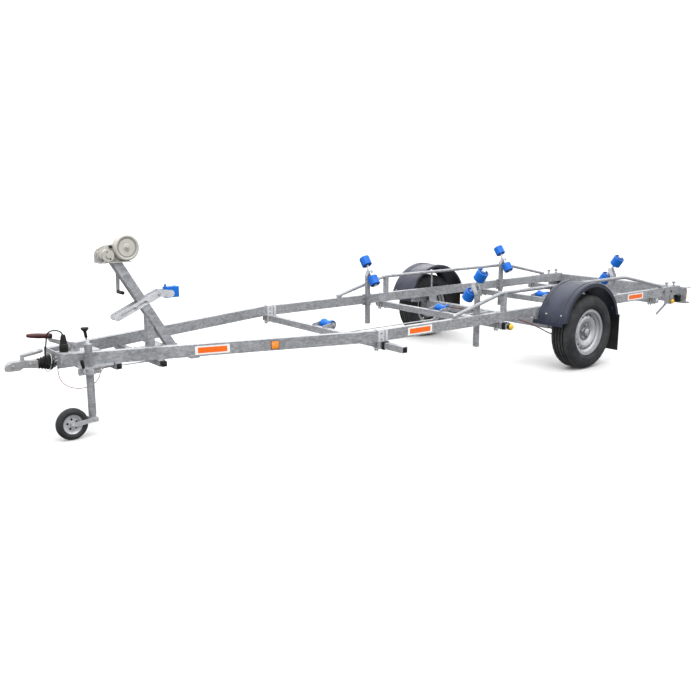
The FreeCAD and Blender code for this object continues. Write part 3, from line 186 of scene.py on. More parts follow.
def printed(name, colour):
    """Sticker film of one colour."""
    s = Shader(name, roughness=0.35)
    shade = tuple(c * 0.9 for c in colour)
    s.colour(s.ramp(s.noise(20.0, 3.0), [(0.2, shade), (0.6, colour)]))
    s.bump(s.noise(350.0, 2.0), 0.0002, 0.3)
    return s.mat


ZINC = galvanised("zinc_frame", (0.24, 0.25, 0.265), (0.42, 0.43, 0.455), metallic=0.4)
ZINC_DULL = galvanised("zinc_stand", (0.215, 0.22, 0.237), (0.37, 0.38, 0.405), metallic=0.4)
ZINC_BRIGHT = galvanised("zinc_fittings", (0.34, 0.35, 0.37), (0.56, 0.57, 0.59), metallic=0.45, spangle=90.0)
ZINC_BOLT = galvanised("zinc_bolts", (0.34, 0.34, 0.34), (0.62, 0.62, 0.60), metallic=0.85, spangle=240.0)
ZINC_PALE = galvanised("zinc_plates", (0.46, 0.475, 0.50), (0.70, 0.715, 0.74), metallic=0.4, spangle=120.0)
CAST = galvanised("zinc_casting", (0.27, 0.275, 0.285), (0.52, 0.53, 0.54), metallic=0.55, spangle=300.0)
TYRE = rubber("tyre_rubber", (0.016, 0.017, 0.0185), (0.042, 0.044, 0.047), (0.55, 0.8))
TREAD = rubber("tyre_tread", (0.026, 0.027, 0.028), (0.062, 0.063, 0.063), (0.55, 0.8))
# Near-black rubber for the groove faces: painted shade inside the tyre's grooves
TREAD_GROOVE_SHADE = rubber("tyre_groove_painted_shade", (0.003, 0.003, 0.003), (0.008, 0.008, 0.008), (0.7, 0.9))
FLAP = rubber("flap_rubber", (0.01, 0.01, 0.0105), (0.026, 0.026, 0.027), (0.45, 0.65))
BLACK = rubber("black_rubber", (0.004, 0.004, 0.004), (0.012, 0.012, 0.012), (0.4, 0.6))
CABLE_BLACK = rubber("cable_black", (0.003, 0.003, 0.003), (0.01, 0.01, 0.01), (0.35, 0.5), 900.0, 0.0002)
CABLE_RED = moulded("cable_red", (0.085, 0.016, 0.014), (0.17, 0.034, 0.03), (0.4, 0.55), 900.0, 0.0002)
BLUE = moulded("roller_blue", (0.003, 0.095, 0.46), (0.006, 0.15, 0.60), (0.34, 0.5), 300.0, 0.0004,
               shine=0.25)
HUB_DARK = moulded("roller_hub", (0.003, 0.004, 0.008), (0.01, 0.012, 0.018), (0.4, 0.6), shine=0.25)
HUB_PALE = moulded("roller_bush", (0.30, 0.32, 0.33), (0.48, 0.50, 0.51), (0.4, 0.55))
GUARD = moulded("guard_plastic", (0.014, 0.018, 0.03), (0.037, 0.043, 0.068), (0.26, 0.42), 500.0, 0.0004,
                shine=0.3)
RIM_PAINT = galvanised("rim_paint", (0.36, 0.37, 0.385), (0.56, 0.57, 0.59), metallic=0.45, spangle=500.0)
HUB_PAINT = galvanised("rim_centre", (0.15, 0.15, 0.16), (0.27, 0.27, 0.28), metallic=0.5, spangle=400.0)
# Dark iron: the drum's own colour, also used as painted shade on the rim's barrel behind the disc
DRUM_IRON_AND_SHADE = galvanised("drum_iron_and_painted_shade", (0.05, 0.05, 0.053), (0.13, 0.13, 0.135), metallic=0.5, spangle=260.0)
WINCH = moulded("winch_paint", (0.40, 0.39, 0.36), (0.57, 0.555, 0.515), (0.3, 0.5), 260.0, 0.0004, 0.1)
# A darker copy of the winch paint: painted shade for the groove in the case face
WINCH_PAINTED_SHADE = moulded("winch_painted_shade", (0.20, 0.195, 0.175), (0.29, 0.28, 0.255), (0.4, 0.6), 260.0,
                      0.0004, 0.1)
STRAP = rubber("winch_strap", (0.02, 0.02, 0.022), (0.05, 0.05, 0.055), (0.7, 0.9), 1400.0, 0.0006)
GRIP_RED = moulded("lever_grip", (0.045, 0.01, 0.01), (0.10, 0.022, 0.018), (0.35, 0.55), 600.0, 0.0006)
LENS_RED = lens("lens_red", (0.30, 0.004, 0.004), (0.55, 0.01, 0.008))
LENS_AMBER = lens("lens_amber", (0.85, 0.20, 0.002), (0.95, 0.30, 0.003))
LENS_YELLOW = lens("lens_marker", (0.86, 0.46, 0.002), (0.96, 0.60, 0.004), 240.0)
LENS_CLEAR = lens("lens_clear", (0.62, 0.62, 0.62), (0.82, 0.82, 0.82))
STICKER = printed("sticker_white", (0.86, 0.86, 0.84))
STICKER_BAR = printed("sticker_bar", (0.88, 0.14, 0.002))
# Near-black patches laid over holes and vents: painted shade of the openings
HOLE_SHADE = rubber("hole_painted_shade", (0.002, 0.002, 0.002), (0.006, 0.006, 0.006), (0.8, 0.95))


# places on the trailer, in metres; X is counted from its middle and Y from its centre line

AXLE_MM = 1249.0                        # the road wheels' axis lies this far behind the middle
AXLE_X, AXLE_Z = -AXLE_MM * MM, 0.315
RAIL_IN, RAIL_OUT = 0.704, 0.754        # the rails' side faces
RAIL_LOW, RAIL_TOP = 0.45, 0.53
NOSE_BEND_X = 0.901                     # where the rails turn in to the nose
NOSE_TURN = atan2(0.604, 2.02)
BEAM = 0.05                             # a crossbeam's section
BEAM_Z = 0.425
BEAM_END = 0.79

SIDES = (("left", 1), ("right", -1))


def at(x, y, z):
    """A point in metres, from the millimetres of the part's source, which count X from the wheel axis."""
    return ((x - AXLE_MM) * MM, y * MM, z * MM)


def middle_of(node):
    """The middle of a node's box."""
    low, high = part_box(node)
    return (low + high) / 2


def beam_x(node):
    """The middle of a crossbeam's tube, whose front face is where its node ends."""
    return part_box(node)[1].x - BEAM / 2


def rail_face(x):
    """How far out a rail's outer face is at x."""
    return RAIL_OUT - max(0.0, x - NOSE_BEND_X) * tan(NOSE_TURN)


# mesh helpers

WASHER = 0.0018

# Heads and nuts: half their width and their height
WHEEL_BOLT, CLAMP_NUT, KEEL_NUT = (0.0105, 0.013), (0.0095, 0.008), (0.011, 0.0075)
SIDE_BOLT, TOP_BOLT, GUARD_BOLT = (0.0085, 0.0055), (0.009, 0.005), (0.008, 0.005)
BOW_BOLT, PLATE_BOLT, SPOOL_BOLT = (0.0095, 0.006), (0.009, 0.006), (0.012, 0.008)
POST_BOLT = (0.0085, 0.006, 0.006)      # with the end of its thread
RIVET_TALL = 0.006


def turn_to(axis):
    """The rotation that lays +Z along axis."""
    return Vector((0, 0, 1)).rotation_difference(Vector(axis)).to_matrix().to_4x4()


def round_y(centre, radius, angle, along=0.0):
    """A point on a circle round a line along Y, moved along that line."""
    return Vector((centre[0] + radius * cos(angle), centre[1] + along, centre[2] + radius * sin(angle)))


def scaled(profile, across=1.0, along=1.0):
    """A profile made wider or longer, or turned to the other side by an along of -1."""
    return [(r * across, a * along) for r, a in profile]


def add_rod(bm, start, end, radius, segments, end_radius=None):
    start, end = Vector(start), Vector(end)
    axis = end - start
    place = Matrix.Translation((start + end) / 2) @ turn_to(axis)
    bmesh.ops.create_cone(bm, cap_ends=True, cap_tris=False, segments=segments, radius1=radius,
                          radius2=radius if end_radius is None else end_radius, depth=axis.length,
                          matrix=place)


def add_block(bm, low, high, bevel):
    low, high = Vector(low), Vector(high)
    place = Matrix.Translation((low + high) / 2) @ Matrix.Diagonal((*(high - low), 1.0))
    made = bmesh.ops.create_cube(bm, size=1.0, matrix=place)
    edges = list({e for v in made["verts"] for e in v.link_edges})
    bmesh.ops.bevel(bm, geom=edges, offset=bevel, segments=2, profile=0.5, affect="EDGES")


def add_side_block(bm, sign, low, high, bevel):
    """A block on one side of the trailer, with Y counted outward."""
    ys = sorted((sign * low[1], sign * high[1]))
    add_block(bm, (low[0], ys[0], low[2]), (high[0], ys[1], high[2]), bevel)


def add_square(bm, x, z, half, y0, y1, bevel):
    """A square block round a line along Y."""
    add_block(bm, (x - half, min(y0, y1), z - half), (x + half, max(y0, y1), z + half), bevel)


def add_bolt(bm, base, axis, size, height, tail=0.0):
    """A hexagon head or nut on a washer, standing on base and looking along axis."""
    base, axis = Vector(base), Vector(axis).normalized()
    seat, top = base + axis * WASHER, base + axis * (WASHER + height)
    add_rod(bm, base, seat, size * 1.08, 20)
    add_rod(bm, seat, top, size * 0.92, 6)
    add_rod(bm, top, base + axis * (WASHER + height + size * 0.10), size * 0.72, 12, size * 0.6)
    if tail:
        add_rod(bm, top, base + axis * (WASHER + height + tail), size * 0.5, 14)


def add_turned(bm, profile, centre, axis=(0, 1, 0), segments=48, closed=True):
    """A surface turned about axis through centre, from (radius, along) points."""
    centre, axis = Vector(centre), Vector(axis).normalized()
    side = axis.orthogonal().normalized()
    up = axis.cross(side)
    rings = []
    for k in range(segments):
        angle = 2 * pi * k / segments
        out = side * cos(angle) + up * sin(angle)
        rings.append([bm.verts.new(centre + out * r + axis * a) for r, a in profile])
    count = len(profile)
    for k in range(segments):
        a, b = rings[k], rings[(k + 1) % segments]
        for i in range(count if closed else count - 1):
            j = (i + 1) % count
            bm.faces.new((a[i], a[j], b[j], b[i]))


def piece(name, bm, mats, body, smooth=35.0):
    """Turns bm into an object of the scene that rides on a body."""
    bmesh.ops.recalc_face_normals(bm, faces=bm.faces)
    mesh = bpy.data.meshes.new(name)
    bm.to_mesh(mesh)
    bm.free()
    obj = bpy.data.objects.new(name, mesh)
    bpy.context.scene.collection.objects.link(obj)
    for mat in mats if isinstance(mats, (list, tuple)) else [mats]:
        mesh.materials.append(mat)
    mesh.shade_smooth()
    mesh.set_sharp_from_angle(angle=radians(smooth))
    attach(obj, body)
    return obj


def frame_piece(name, bm, mat, smooth=35.0):
    return piece(name, bm, mat, "frame", smooth)


# materials of the solids

# Node names, or how they start, and the materials of those that aren't the frame's zinc
NODE_PAINTS = (
    (("post_", "jockey_outer_tube", "jockey_inner_tube"), ZINC_DULL),
    (("rocker_", "bow_arm"), ZINC_PALE),
    (("mudguard_stays", "jockey_fork", "jockey_clamp", "brake_rod", "winch_crank"), ZINC_BRIGHT),
    (("coupling_head", "handbrake_lever"), CAST),
    (("rollers_", "keel_roller_", "bow_block"), BLUE),
    (("mudguard_left", "mudguard_right"), GUARD),
    (("mudflap_",), FLAP),
    (("tyre_", "jockey_tyre"), TYRE),
    (("rim_", "jockey_rim"), RIM_PAINT),
    (("winch_frame", "winch_drum"), WINCH),
    (("drawbar_gaiter", "connector_plug"), BLACK),
    (("connector_lead",), CABLE_BLACK),
    (("breakaway_cable", "brake_cables"), CABLE_RED),
    (("rear_lamps",), LENS_RED),
    (("side_markers",), LENS_YELLOW),
)

# Where the second material of a node begins
PLUG_PLATE_TOP = 0.5345
LEVER_GRIP_X, LEVER_GRIP_Z = 2.95, 0.612
CRANK_HANDLE_Y, CRANK_HANDLE_Z = -0.0615, 0.885
JOCKEY_KNOB_Z = 0.6705
LAMP_PLATE_X, LAMP_PLATE_Y, LAMP_PLATE_Z = (-3.148, -3.1), 0.683, 0.4335
STAY_END_Y = 0.785
DISC_FACE_Y, BAND_FACE_Y = 0.9915, 0.982    # the rim's faces nearer the middle than these are dark
DRUM_R, DISC_GAP_R, HUB_R = 0.1165, (0.1495, 0.1585), 0.079


def from_axle(c):
    return hypot(c.x - AXLE_X, c.z - AXLE_Z)


def on_lamp_plate(c):
    return LAMP_PLATE_X[0] < c.x < LAMP_PLATE_X[1] and c.z < LAMP_PLATE_Z and abs(c.y) > LAMP_PLATE_Y


# A node, its second material, and the test that the centre of a face passes to have it
FACE_PAINTS = [
    ("connector_plug", ZINC_BRIGHT, lambda c: c.z < PLUG_PLATE_TOP),
    ("handbrake_lever", GRIP_RED, lambda c: c.z > LEVER_GRIP_Z and c.x > LEVER_GRIP_X),
    ("winch_crank", BLACK, lambda c: c.z < CRANK_HANDLE_Z and c.y > CRANK_HANDLE_Y),
    ("jockey_outer_tube", BLACK, lambda c: c.z > JOCKEY_KNOB_Z),
    ("light_board", BLACK, on_lamp_plate),
    ("mudguard_stays", GUARD, lambda c: abs(c.y) > STAY_END_Y),
]
for rim in ("rim_left", "rim_right"):
    FACE_PAINTS += [
        (rim, DRUM_IRON_AND_SHADE, lambda c: abs(c.y) < DISC_FACE_Y and from_axle(c) < DRUM_R),
        # painted shade: the band of the rim's barrel behind the disc's edge gets the dark iron
        (rim, DRUM_IRON_AND_SHADE, lambda c: abs(c.y) < BAND_FACE_Y and DISC_GAP_R[0] < from_axle(c) < DISC_GAP_R[1]),
        (rim, HUB_PAINT, lambda c: abs(c.y) >= DISC_FACE_Y and from_axle(c) < HUB_R),
    ]


def paint_nodes():
    """Gives every solid its materials and smooth shading."""
    for name, obj in NODES.items():
        mat = next((mat for names, mat in NODE_PAINTS if name.startswith(names)), ZINC)
        obj.data.materials.clear()
        obj.data.materials.append(mat)
    for name, mat, inside in FACE_PAINTS:
        mesh = NODES[name].data
        mesh.materials.append(mat)
        for face in mesh.polygons:
            if inside(face.center):
                face.material_index = len(mesh.materials) - 1
    for obj in NODES.values():
        obj.data.shade_smooth()
        obj.data.set_sharp_from_angle(angle=radians(28))


# cords

def cord_piece(name, points, radius, mat, slot, node, **facts):
    """A free cord: a smooth line with the route's points as its control points."""
    curve = bpy.data.curves.new(name, "CURVE")
    curve.dimensions = "3D"
    spline = curve.splines.new("NURBS")
    spline.points.add(len(points) - 1)
    for p, place in zip(spline.points, points):
        p.co = (*place, 1.0)
    spline.order_u = 3
    spline.use_endpoint_u = True
    spline.resolution_u = 16
    curve.bevel_depth = radius
    curve.bevel_resolution = 4
    curve.use_fill_caps = True
    curve.materials.append(mat)
    obj = bpy.data.objects.new(name, curve)
    bpy.context.scene.collection.objects.link(obj)
    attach(obj, "frame")
    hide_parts(node)


def cords():
    """The connector's lead, a little lower and further back than its tube, and the breakaway cable."""
    lead = [at(*p) for p in (
        (4133, 90, 612), (4133, 90, 648), (4157, 82, 671), (4201, 68, 673), (4226, 60, 650), (4229, 57, 602),
        (4240, 60, 550), (4246, 64, 486), (4230, 66, 452), (4180, 66, 462))]
    cord_piece("lead_line", lead, 0.0045, CABLE_BLACK, "black_rubber", "connector_lead",
               length=0.40, far_end="object", stiffness="medium", lay="loose")
    breakaway = [at(*p) for p in (
        (4175, 72, 446), (4175, 72, 402), (4172, 96, 356), (4145, 128, 320), (4098, 148, 302),
        (4046, 158, 298), (3993, 164, 311), (3952, 168, 346), (3938, 170, 392), (3908, 175, 424),
        (3870, 175, 424))]
    cord_piece("breakaway_line", breakaway, 0.0025, CABLE_RED, "cable_red", "breakaway_cable",
               length=0.489, far_end="object", stiffness="medium", lay="hanging")


# road wheels

TREAD_SLICES = 216                      # round the tyre
TREAD_SPANS = 15                        # of the section, each side of its middle
TREAD_SHARE = 0.80                      # of the tyre's half width
GROOVES = (-0.52, -0.18, 0.18, 0.52)    # their places across the tread, whose edges are at -1 and 1
GROOVE_HALF = 0.04
GROOVE_DEPTH, SHOULDER_DEPTH, RIB_DEPTH = 0.008, 0.003, 0.0035
BEAD_R, FLANGE_R = 0.1784, 0.196

WHEEL_FACE = 0.992                      # the outer face of the rim's disc
WHEEL_BOLTS, BOLT_CIRCLE_R = 5, 0.056
HUB_CAP = [(0.0, 0.034), (0.012, 0.0338), (0.022, 0.032), (0.0275, 0.028), (0.03, 0.02), (0.0322, 0.0045),
           (0.0345, 0.0043), (0.0345, 0.001), (0.0, 0.001)]
VALVE_R, VALVE_ANGLE, VALVE_LONG = 0.128, 2.0, 0.024
VENTS, VENT_POINTS = 16, 20
VENT_R, VENT_TALL, VENT_WIDE = 0.133, 0.01, 0.0125
DISC_CONE_R, DISC_CONE_Y, DISC_CONE_SLOPE = 0.118, 0.0222, 0.5    # the coned band that the vents lie on


def tyre_section(half, outer):
    """The section from bead to bead: place across the tread or None, distance from the middle, radius."""
    walls = [(0.905, outer - 0.026), (0.965, outer - 0.046), (1.0, outer - 0.064), (0.985, outer - 0.078),
             (1.0, outer - 0.083), (0.97, outer - 0.100), (0.90, FLANGE_R + 0.006), (0.80, FLANGE_R + 0.003),
             (0.695, FLANGE_R + 0.003), (0.695, BEAD_R)]
    tread = []
    for i in range(-TREAD_SPANS, TREAD_SPANS + 1):
        t = i / TREAD_SPANS
        crown, shoulder = 0.0018 * t * t, 0.01 * max(0.0, abs(t) - 0.72) / 0.28
        tread.append((t, t * half * TREAD_SHARE, outer - (crown + shoulder)))
    return ([(None, -y * half, r) for y, r in reversed(walls)] + tread +
            [(None, y * half, r) for y, r in walls])


def in_groove(t):
    return min(abs(t - g) for g in GROOVES) < GROOVE_HALF


def tread_cut(t, k):
    """The depth of the groove or cut at place t of slice k."""
    if t is None:
        return 0.0
    if in_groove(t):
        return GROOVE_DEPTH
    if abs(t) > 0.60 and (k + (2 if t > 0 else 0)) % 6 == 0:
        return SHOULDER_DEPTH
    if abs(t) < 0.5 and (k + int(round(t * 6))) % 9 == 0:
        return RIB_DEPTH
    return 0.0


def tread_tyre(side):
    """The road tyre with its grooves, shoulder cuts and wall lines, on the section of the solid."""
    low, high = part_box("tyre_" + side)
    centre = (low + high) / 2
    line = tyre_section((high.y - low.y) / 2, (high.z - low.z) / 2)
    bm = bmesh.new()
    rings = []
    for k in range(TREAD_SLICES):
        angle = 2 * pi * k / TREAD_SLICES
        rings.append([bm.verts.new(round_y(centre, r - tread_cut(t, k), angle, y)) for t, y, r in line])
    for k in range(TREAD_SLICES):
        a, b = rings[k], rings[(k + 1) % TREAD_SLICES]
        for i in range(len(line)):
            j = (i + 1) % len(line)
            face = bm.faces.new((a[i], a[j], b[j], b[i]))
            places = (line[i][0], line[j][0])
            if None not in places:
                # groove faces get the painted shade rubber, the other tread faces get the tread rubber
                face.material_index = 2 if any(in_groove(t) for t in places) else 1
    obj = piece("road_tyre_" + side, bm, [TYRE, TREAD, TREAD_GROOVE_SHADE], "wheel_" + side, 24)
    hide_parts("tyre_" + side)


def wheel_fittings(side, sign):
    """Bolts, valve, hub cap, and black patches on the rim's outer face, painted as the shade seen through its
    vents.
    """
    centre = middle_of("rim_" + side)
    centre.y = WHEEL_FACE * sign
    body = "wheel_" + side
    bm = bmesh.new()
    for i in range(WHEEL_BOLTS):
        angle = 2 * pi * i / WHEEL_BOLTS + 0.3
        add_bolt(bm, round_y(centre, BOLT_CIRCLE_R, angle, 0.004 * sign), (0, sign, 0), *WHEEL_BOLT)
    valve = round_y(centre, VALVE_R, VALVE_ANGLE, 0.02 * sign)
    add_rod(bm, valve, valve + Vector((0, VALVE_LONG * sign, 0)), 0.0045, 12)
    piece("wheel_bolts_" + side, bm, ZINC_BOLT, body)
    bm = bmesh.new()
    add_turned(bm, scaled(HUB_CAP, along=sign), centre, segments=40)
    piece("hub_cap_" + side, bm, ZINC_BRIGHT, body)
    # The vents are flat black patches on the coned band: painted shade of the open vents
    bm = bmesh.new()
    for i in range(VENTS):
        angle = 2 * pi * i / VENTS
        across = Vector((-sin(angle), 0, cos(angle)))
        verts = []
        for k in range(VENT_POINTS):
            turn = 2 * pi * k / VENT_POINTS
            r = VENT_R + VENT_TALL * cos(turn)
            lift = DISC_CONE_Y - (r - DISC_CONE_R) * DISC_CONE_SLOPE + 0.0006
            spot = round_y(centre, r, angle, sign * lift) + across * (VENT_WIDE * sin(turn))
            verts.append(bm.verts.new(spot))
        bm.faces.new(verts)
    piece("rim_vent_shades_" + side, bm, HOLE_SHADE, body)


def wheels():
    for side, sign in SIDES:
        tread_tyre(side)
        wheel_fittings(side, sign)


# fittings on the frame

CLAMP_LOW, CLAMP_TOP = 0.3955, 0.3995   # the clamp plates under the crossbeams
CLAMP_BOLTS_X = (-0.034, 0.034)         # from the beam's middle
CLAMP_BOLTS_Y = (0.718, 0.741)
PLUG_HALF = 0.0215                      # a square plug inside a crossbeam's end
U_BOLT_R, U_BOLT_LOW = 0.005, 0.378
CLAMP_PLATE_HALF = 0.046
STRAPS = ((-0.018, 0.038), (-0.052, -0.028))    # the front clamps' two straps, from the beam's middle
STRAP_T, STRAP_LOW, STRAP_TOP = 0.005, 0.402, 0.5335
STRAP_BOLTS_X, STRAP_BOLTS_Z = 0.01, (0.47, 0.512)
POST_BOLTS_X, POST_BOLTS_Z = (-0.036, 0.036), (0.47, 0.51)
HAT_T = 0.005                           # the posts' hat clamps

# Round markers as (radius, height) from their base plane: a black cup and a domed lens in it
MARKER_CUP = [(0.0, 0.0), (0.022, 0.0), (0.022, 0.005), (0.0205, 0.006), (0.0195, 0.0035), (0.0, 0.0035)]
MARKER_LENS = [(0.0, 0.0136), (0.006, 0.0134), (0.012, 0.0126), (0.016, 0.0112), (0.0185, 0.009),
               (0.0192, 0.003)]
LENS_TALL = 1.7

ROLLER_TILT = radians(54.5)
ROLLER_STEP = 0.1025                    # each roller's middle from the rocker's, along the rod
ROLLER_RECESS = [(0.0165, 0.0366), (0.0222, 0.0366), (0.0222, 0.0385), (0.0378, 0.0385), (0.0378, 0.0355),
                 (0.0165, 0.0355)]
ROLLER_BUSH = [(0.0105, 0.0355), (0.0105, 0.0392), (0.015, 0.0392), (0.016, 0.0382), (0.016, 0.0355)]
KEEL_BORE_R, KEEL_END_R = 0.0085, 0.0335
KEEL_NUT_Y = 0.0722
GUARD_R, GUARD_Z = 0.3835, 0.351        # the mudguard's arch and its centre
GUARD_BOLTS_Y, GUARD_BOLTS_Z = (0.864, 1.016), 0.488

LABELS = ((1.906, 2.129), (0.329, 0.575), (-2.493, -2.239))    # from x to x along the left rail
LABEL_Z, BAR_Z, BAR_INSET = (0.461, 0.519), (0.471, 0.509), 0.018
REFLECTOR_X, REFLECTOR_Z = 1.606, 0.488

LAMP_BACK, LAMP_FRONT, LAMP_LOW, LAMP_HIGH = -3.213, -3.153, 0.385, 0.489
LAMP_EDGE, LAMP_WIDE = 0.806, 0.23
LENS_DEEP = 0.016
BOARD_SLOTS = ((-2.938, 0.48, 0.007, 0.021), (-2.986, 0.486, 0.011, 0.011), (-2.852, 0.493, 0.008, 0.008))
BOARD_SLOTS_Y = (0.7584, 0.7592)        # the slots above are x, z and half their size both ways
REAR_MARKER = (-3.005, 0.759, 0.386)


def beam_fittings():
    """Clamp bolts and plates of the crossbeams, and the plugs or caps in their ends."""
    caps, metal, plates = bmesh.new(), bmesh.new(), bmesh.new()
    for name in ("front_crossbeam", "middle_crossbeam", "rear_crossbeam", "tail_crossbeam"):
        x = beam_x(name)
        for _, sign in SIDES:
            if name == "front_crossbeam" and sign < 0:
                add_square(caps, x, BEAM_Z, 0.0265, -BEAM_END - 0.004, -BEAM_END + 0.012, 0.003)
            elif sign < 0 or name in ("rear_crossbeam", "tail_crossbeam"):
                plug = caps if name == "middle_crossbeam" else plates
                add_square(plug, x, BEAM_Z, PLUG_HALF, sign * (BEAM_END - 0.012),
                           sign * (BEAM_END - 0.0025), 0.002)
            for dx in CLAMP_BOLTS_X:
                for y in CLAMP_BOLTS_Y:
                    spot = x + dx, sign * y
                    add_rod(metal, (*spot, U_BOLT_LOW), (*spot, RAIL_LOW + 0.002), U_BOLT_R, 14)
                    add_bolt(metal, (*spot, CLAMP_LOW), (0, 0, -1), *CLAMP_NUT)
                add_bolt(metal, (x + dx, sign * (RAIL_IN + RAIL_OUT) / 2, RAIL_TOP), (0, 0, 1), *TOP_BOLT)
            add_side_block(plates, sign, (x - CLAMP_PLATE_HALF, RAIL_IN, CLAMP_LOW),
                           (x + CLAMP_PLATE_HALF, RAIL_OUT, CLAMP_TOP), 0.001)
    front_clamps(plates, metal)
    frame_piece("beam_end_caps", caps, BLACK)
    frame_piece("beam_clamp_bolts", metal, ZINC_BOLT)
    frame_piece("beam_clamp_plates", plates, ZINC_PALE)


def front_clamps(plates, metal):
    """The folded plates that hold the front crossbeam to both faces of each rail."""
    x = beam_x("front_crossbeam")
    for _, sign in SIDES:
        for face, out in ((RAIL_OUT, 1), (RAIL_IN, -1)):
            skin = face + out * STRAP_T
            for back, front in STRAPS:
                add_side_block(plates, sign, (x + back, face, STRAP_LOW),
                               (x + front, skin, STRAP_TOP), 0.0012)
            for z in STRAP_BOLTS_Z:
                add_bolt(metal, (x + STRAP_BOLTS_X, sign * skin, z), (0, sign * out, 0), *SIDE_BOLT)
        for back, front in STRAPS:
            add_side_block(plates, sign, (x + back, RAIL_IN - STRAP_T, RAIL_TOP),
                           (x + front, RAIL_OUT + STRAP_T, RAIL_TOP + 0.0045), 0.0012)


def post_fittings():
    """Bolts through the hat clamps of the side posts."""
    metal = bmesh.new()
    for end in ("front", "rear"):
        for side, sign in SIDES:
            x = middle_of("post_%s_%s" % (end, side)).x
            for dx in POST_BOLTS_X:
                for z in POST_BOLTS_Z:
                    add_bolt(metal, (x + dx, sign * (RAIL_IN - HAT_T), z), (0, -sign, 0), *POST_BOLT)
                    add_bolt(metal, (x + dx, sign * RAIL_OUT, z), (0, sign, 0), *SIDE_BOLT)
    frame_piece("post_clamp_bolts", metal, ZINC_BOLT)


def rocker_fittings():
    """Dark recesses with pale bushes in the ends of the side rollers."""
    for end in ("front", "rear"):
        for side, sign in SIDES:
            key = end + "_" + side
            recesses, bushes = bmesh.new(), bmesh.new()
            along = Vector((0, sign * cos(ROLLER_TILT), sin(ROLLER_TILT)))
            for s in (-1, 1):
                middle = middle_of("rollers_" + key) + along * (s * ROLLER_STEP)
                for face in (-1, 1):
                    add_turned(recesses, scaled(ROLLER_RECESS, along=face), middle, along, 36)
                    add_turned(bushes, scaled(ROLLER_BUSH, along=face), middle, along, 36)
            piece("roller_hubs_" + key, recesses, HUB_DARK, "rollers_" + key)
            piece("roller_bushes_" + key, bushes, HUB_PALE, "rollers_" + key)


def keel_fittings():
    """Dark end faces of the keel rollers, and the nuts of their pins."""
    nuts = bmesh.new()
    for name in ("front", "middle", "rear"):
        low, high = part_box("keel_roller_" + name)
        centre, half = (low + high) / 2, (high.y - low.y) / 2
        ends = bmesh.new()
        ring = [(KEEL_BORE_R, half - 0.001), (KEEL_BORE_R, half + 0.0008), (0.03, half + 0.0008),
                (KEEL_END_R, half - 0.0005), (KEEL_END_R, half - 0.001)]
        for s in (-1, 1):
            add_turned(ends, scaled(ring, along=s), centre, segments=36)
            add_bolt(nuts, (centre.x, s * KEEL_NUT_Y, centre.z), (0, s, 0), *KEEL_NUT)
        piece("keel_roller_ends_" + name, ends, HUB_DARK, "keel_roller_" + name)
    frame_piece("keel_roller_nuts", nuts, ZINC_BOLT)


def guard_fittings():
    """Two bolts low on the front and two on the rear of each mudguard's arch."""
    metal = bmesh.new()
    rise = GUARD_BOLTS_Z - GUARD_Z
    for side, sign in SIDES:
        x = middle_of("mudguard_" + side).x
        for fore in (1, -1):
            out = Vector((fore * sqrt(GUARD_R ** 2 - rise ** 2), 0, rise)).normalized()
            for y in GUARD_BOLTS_Y:
                add_bolt(metal, Vector((x, sign * y, GUARD_Z)) + out * (GUARD_R + 0.0007), out, *GUARD_BOLT)
    frame_piece("mudguard_bolts", metal, ZINC_BOLT)


def add_label(bm, x0, x1, inset, zs, lift):
    """A thin plate on the left rail's outer face, inset from x0 and x1."""
    start, end = Vector((x0, rail_face(x0), 0)), Vector((x1, rail_face(x1), 0))
    run = (end - start).normalized()
    out = Vector((-run.y, run.x, 0))
    start, end = start + run * inset, end - run * inset
    corners = [Vector((q.x, q.y, z)) for q, z in ((start, zs[0]), (end, zs[0]), (end, zs[1]), (start, zs[1]))]
    front = [bm.verts.new(c + out * lift) for c in corners]
    back = [bm.verts.new(c + out * 0.0001) for c in corners]
    bm.faces.new(front)
    bm.faces.new(list(reversed(back)))
    for i in range(4):
        j = (i + 1) % 4
        bm.faces.new((front[i], front[j], back[j], back[i]))


def stickers():
    """Blank white labels with one plain orange bar."""
    white, bar = bmesh.new(), bmesh.new()
    for x0, x1 in LABELS:
        add_label(white, x0, x1, 0.0, LABEL_Z, 0.0008)
        add_label(bar, x0, x1, BAR_INSET, BAR_Z, 0.0012)
    frame_piece("labels_white", white, STICKER)
    frame_piece("labels_bar", bar, STICKER_BAR)


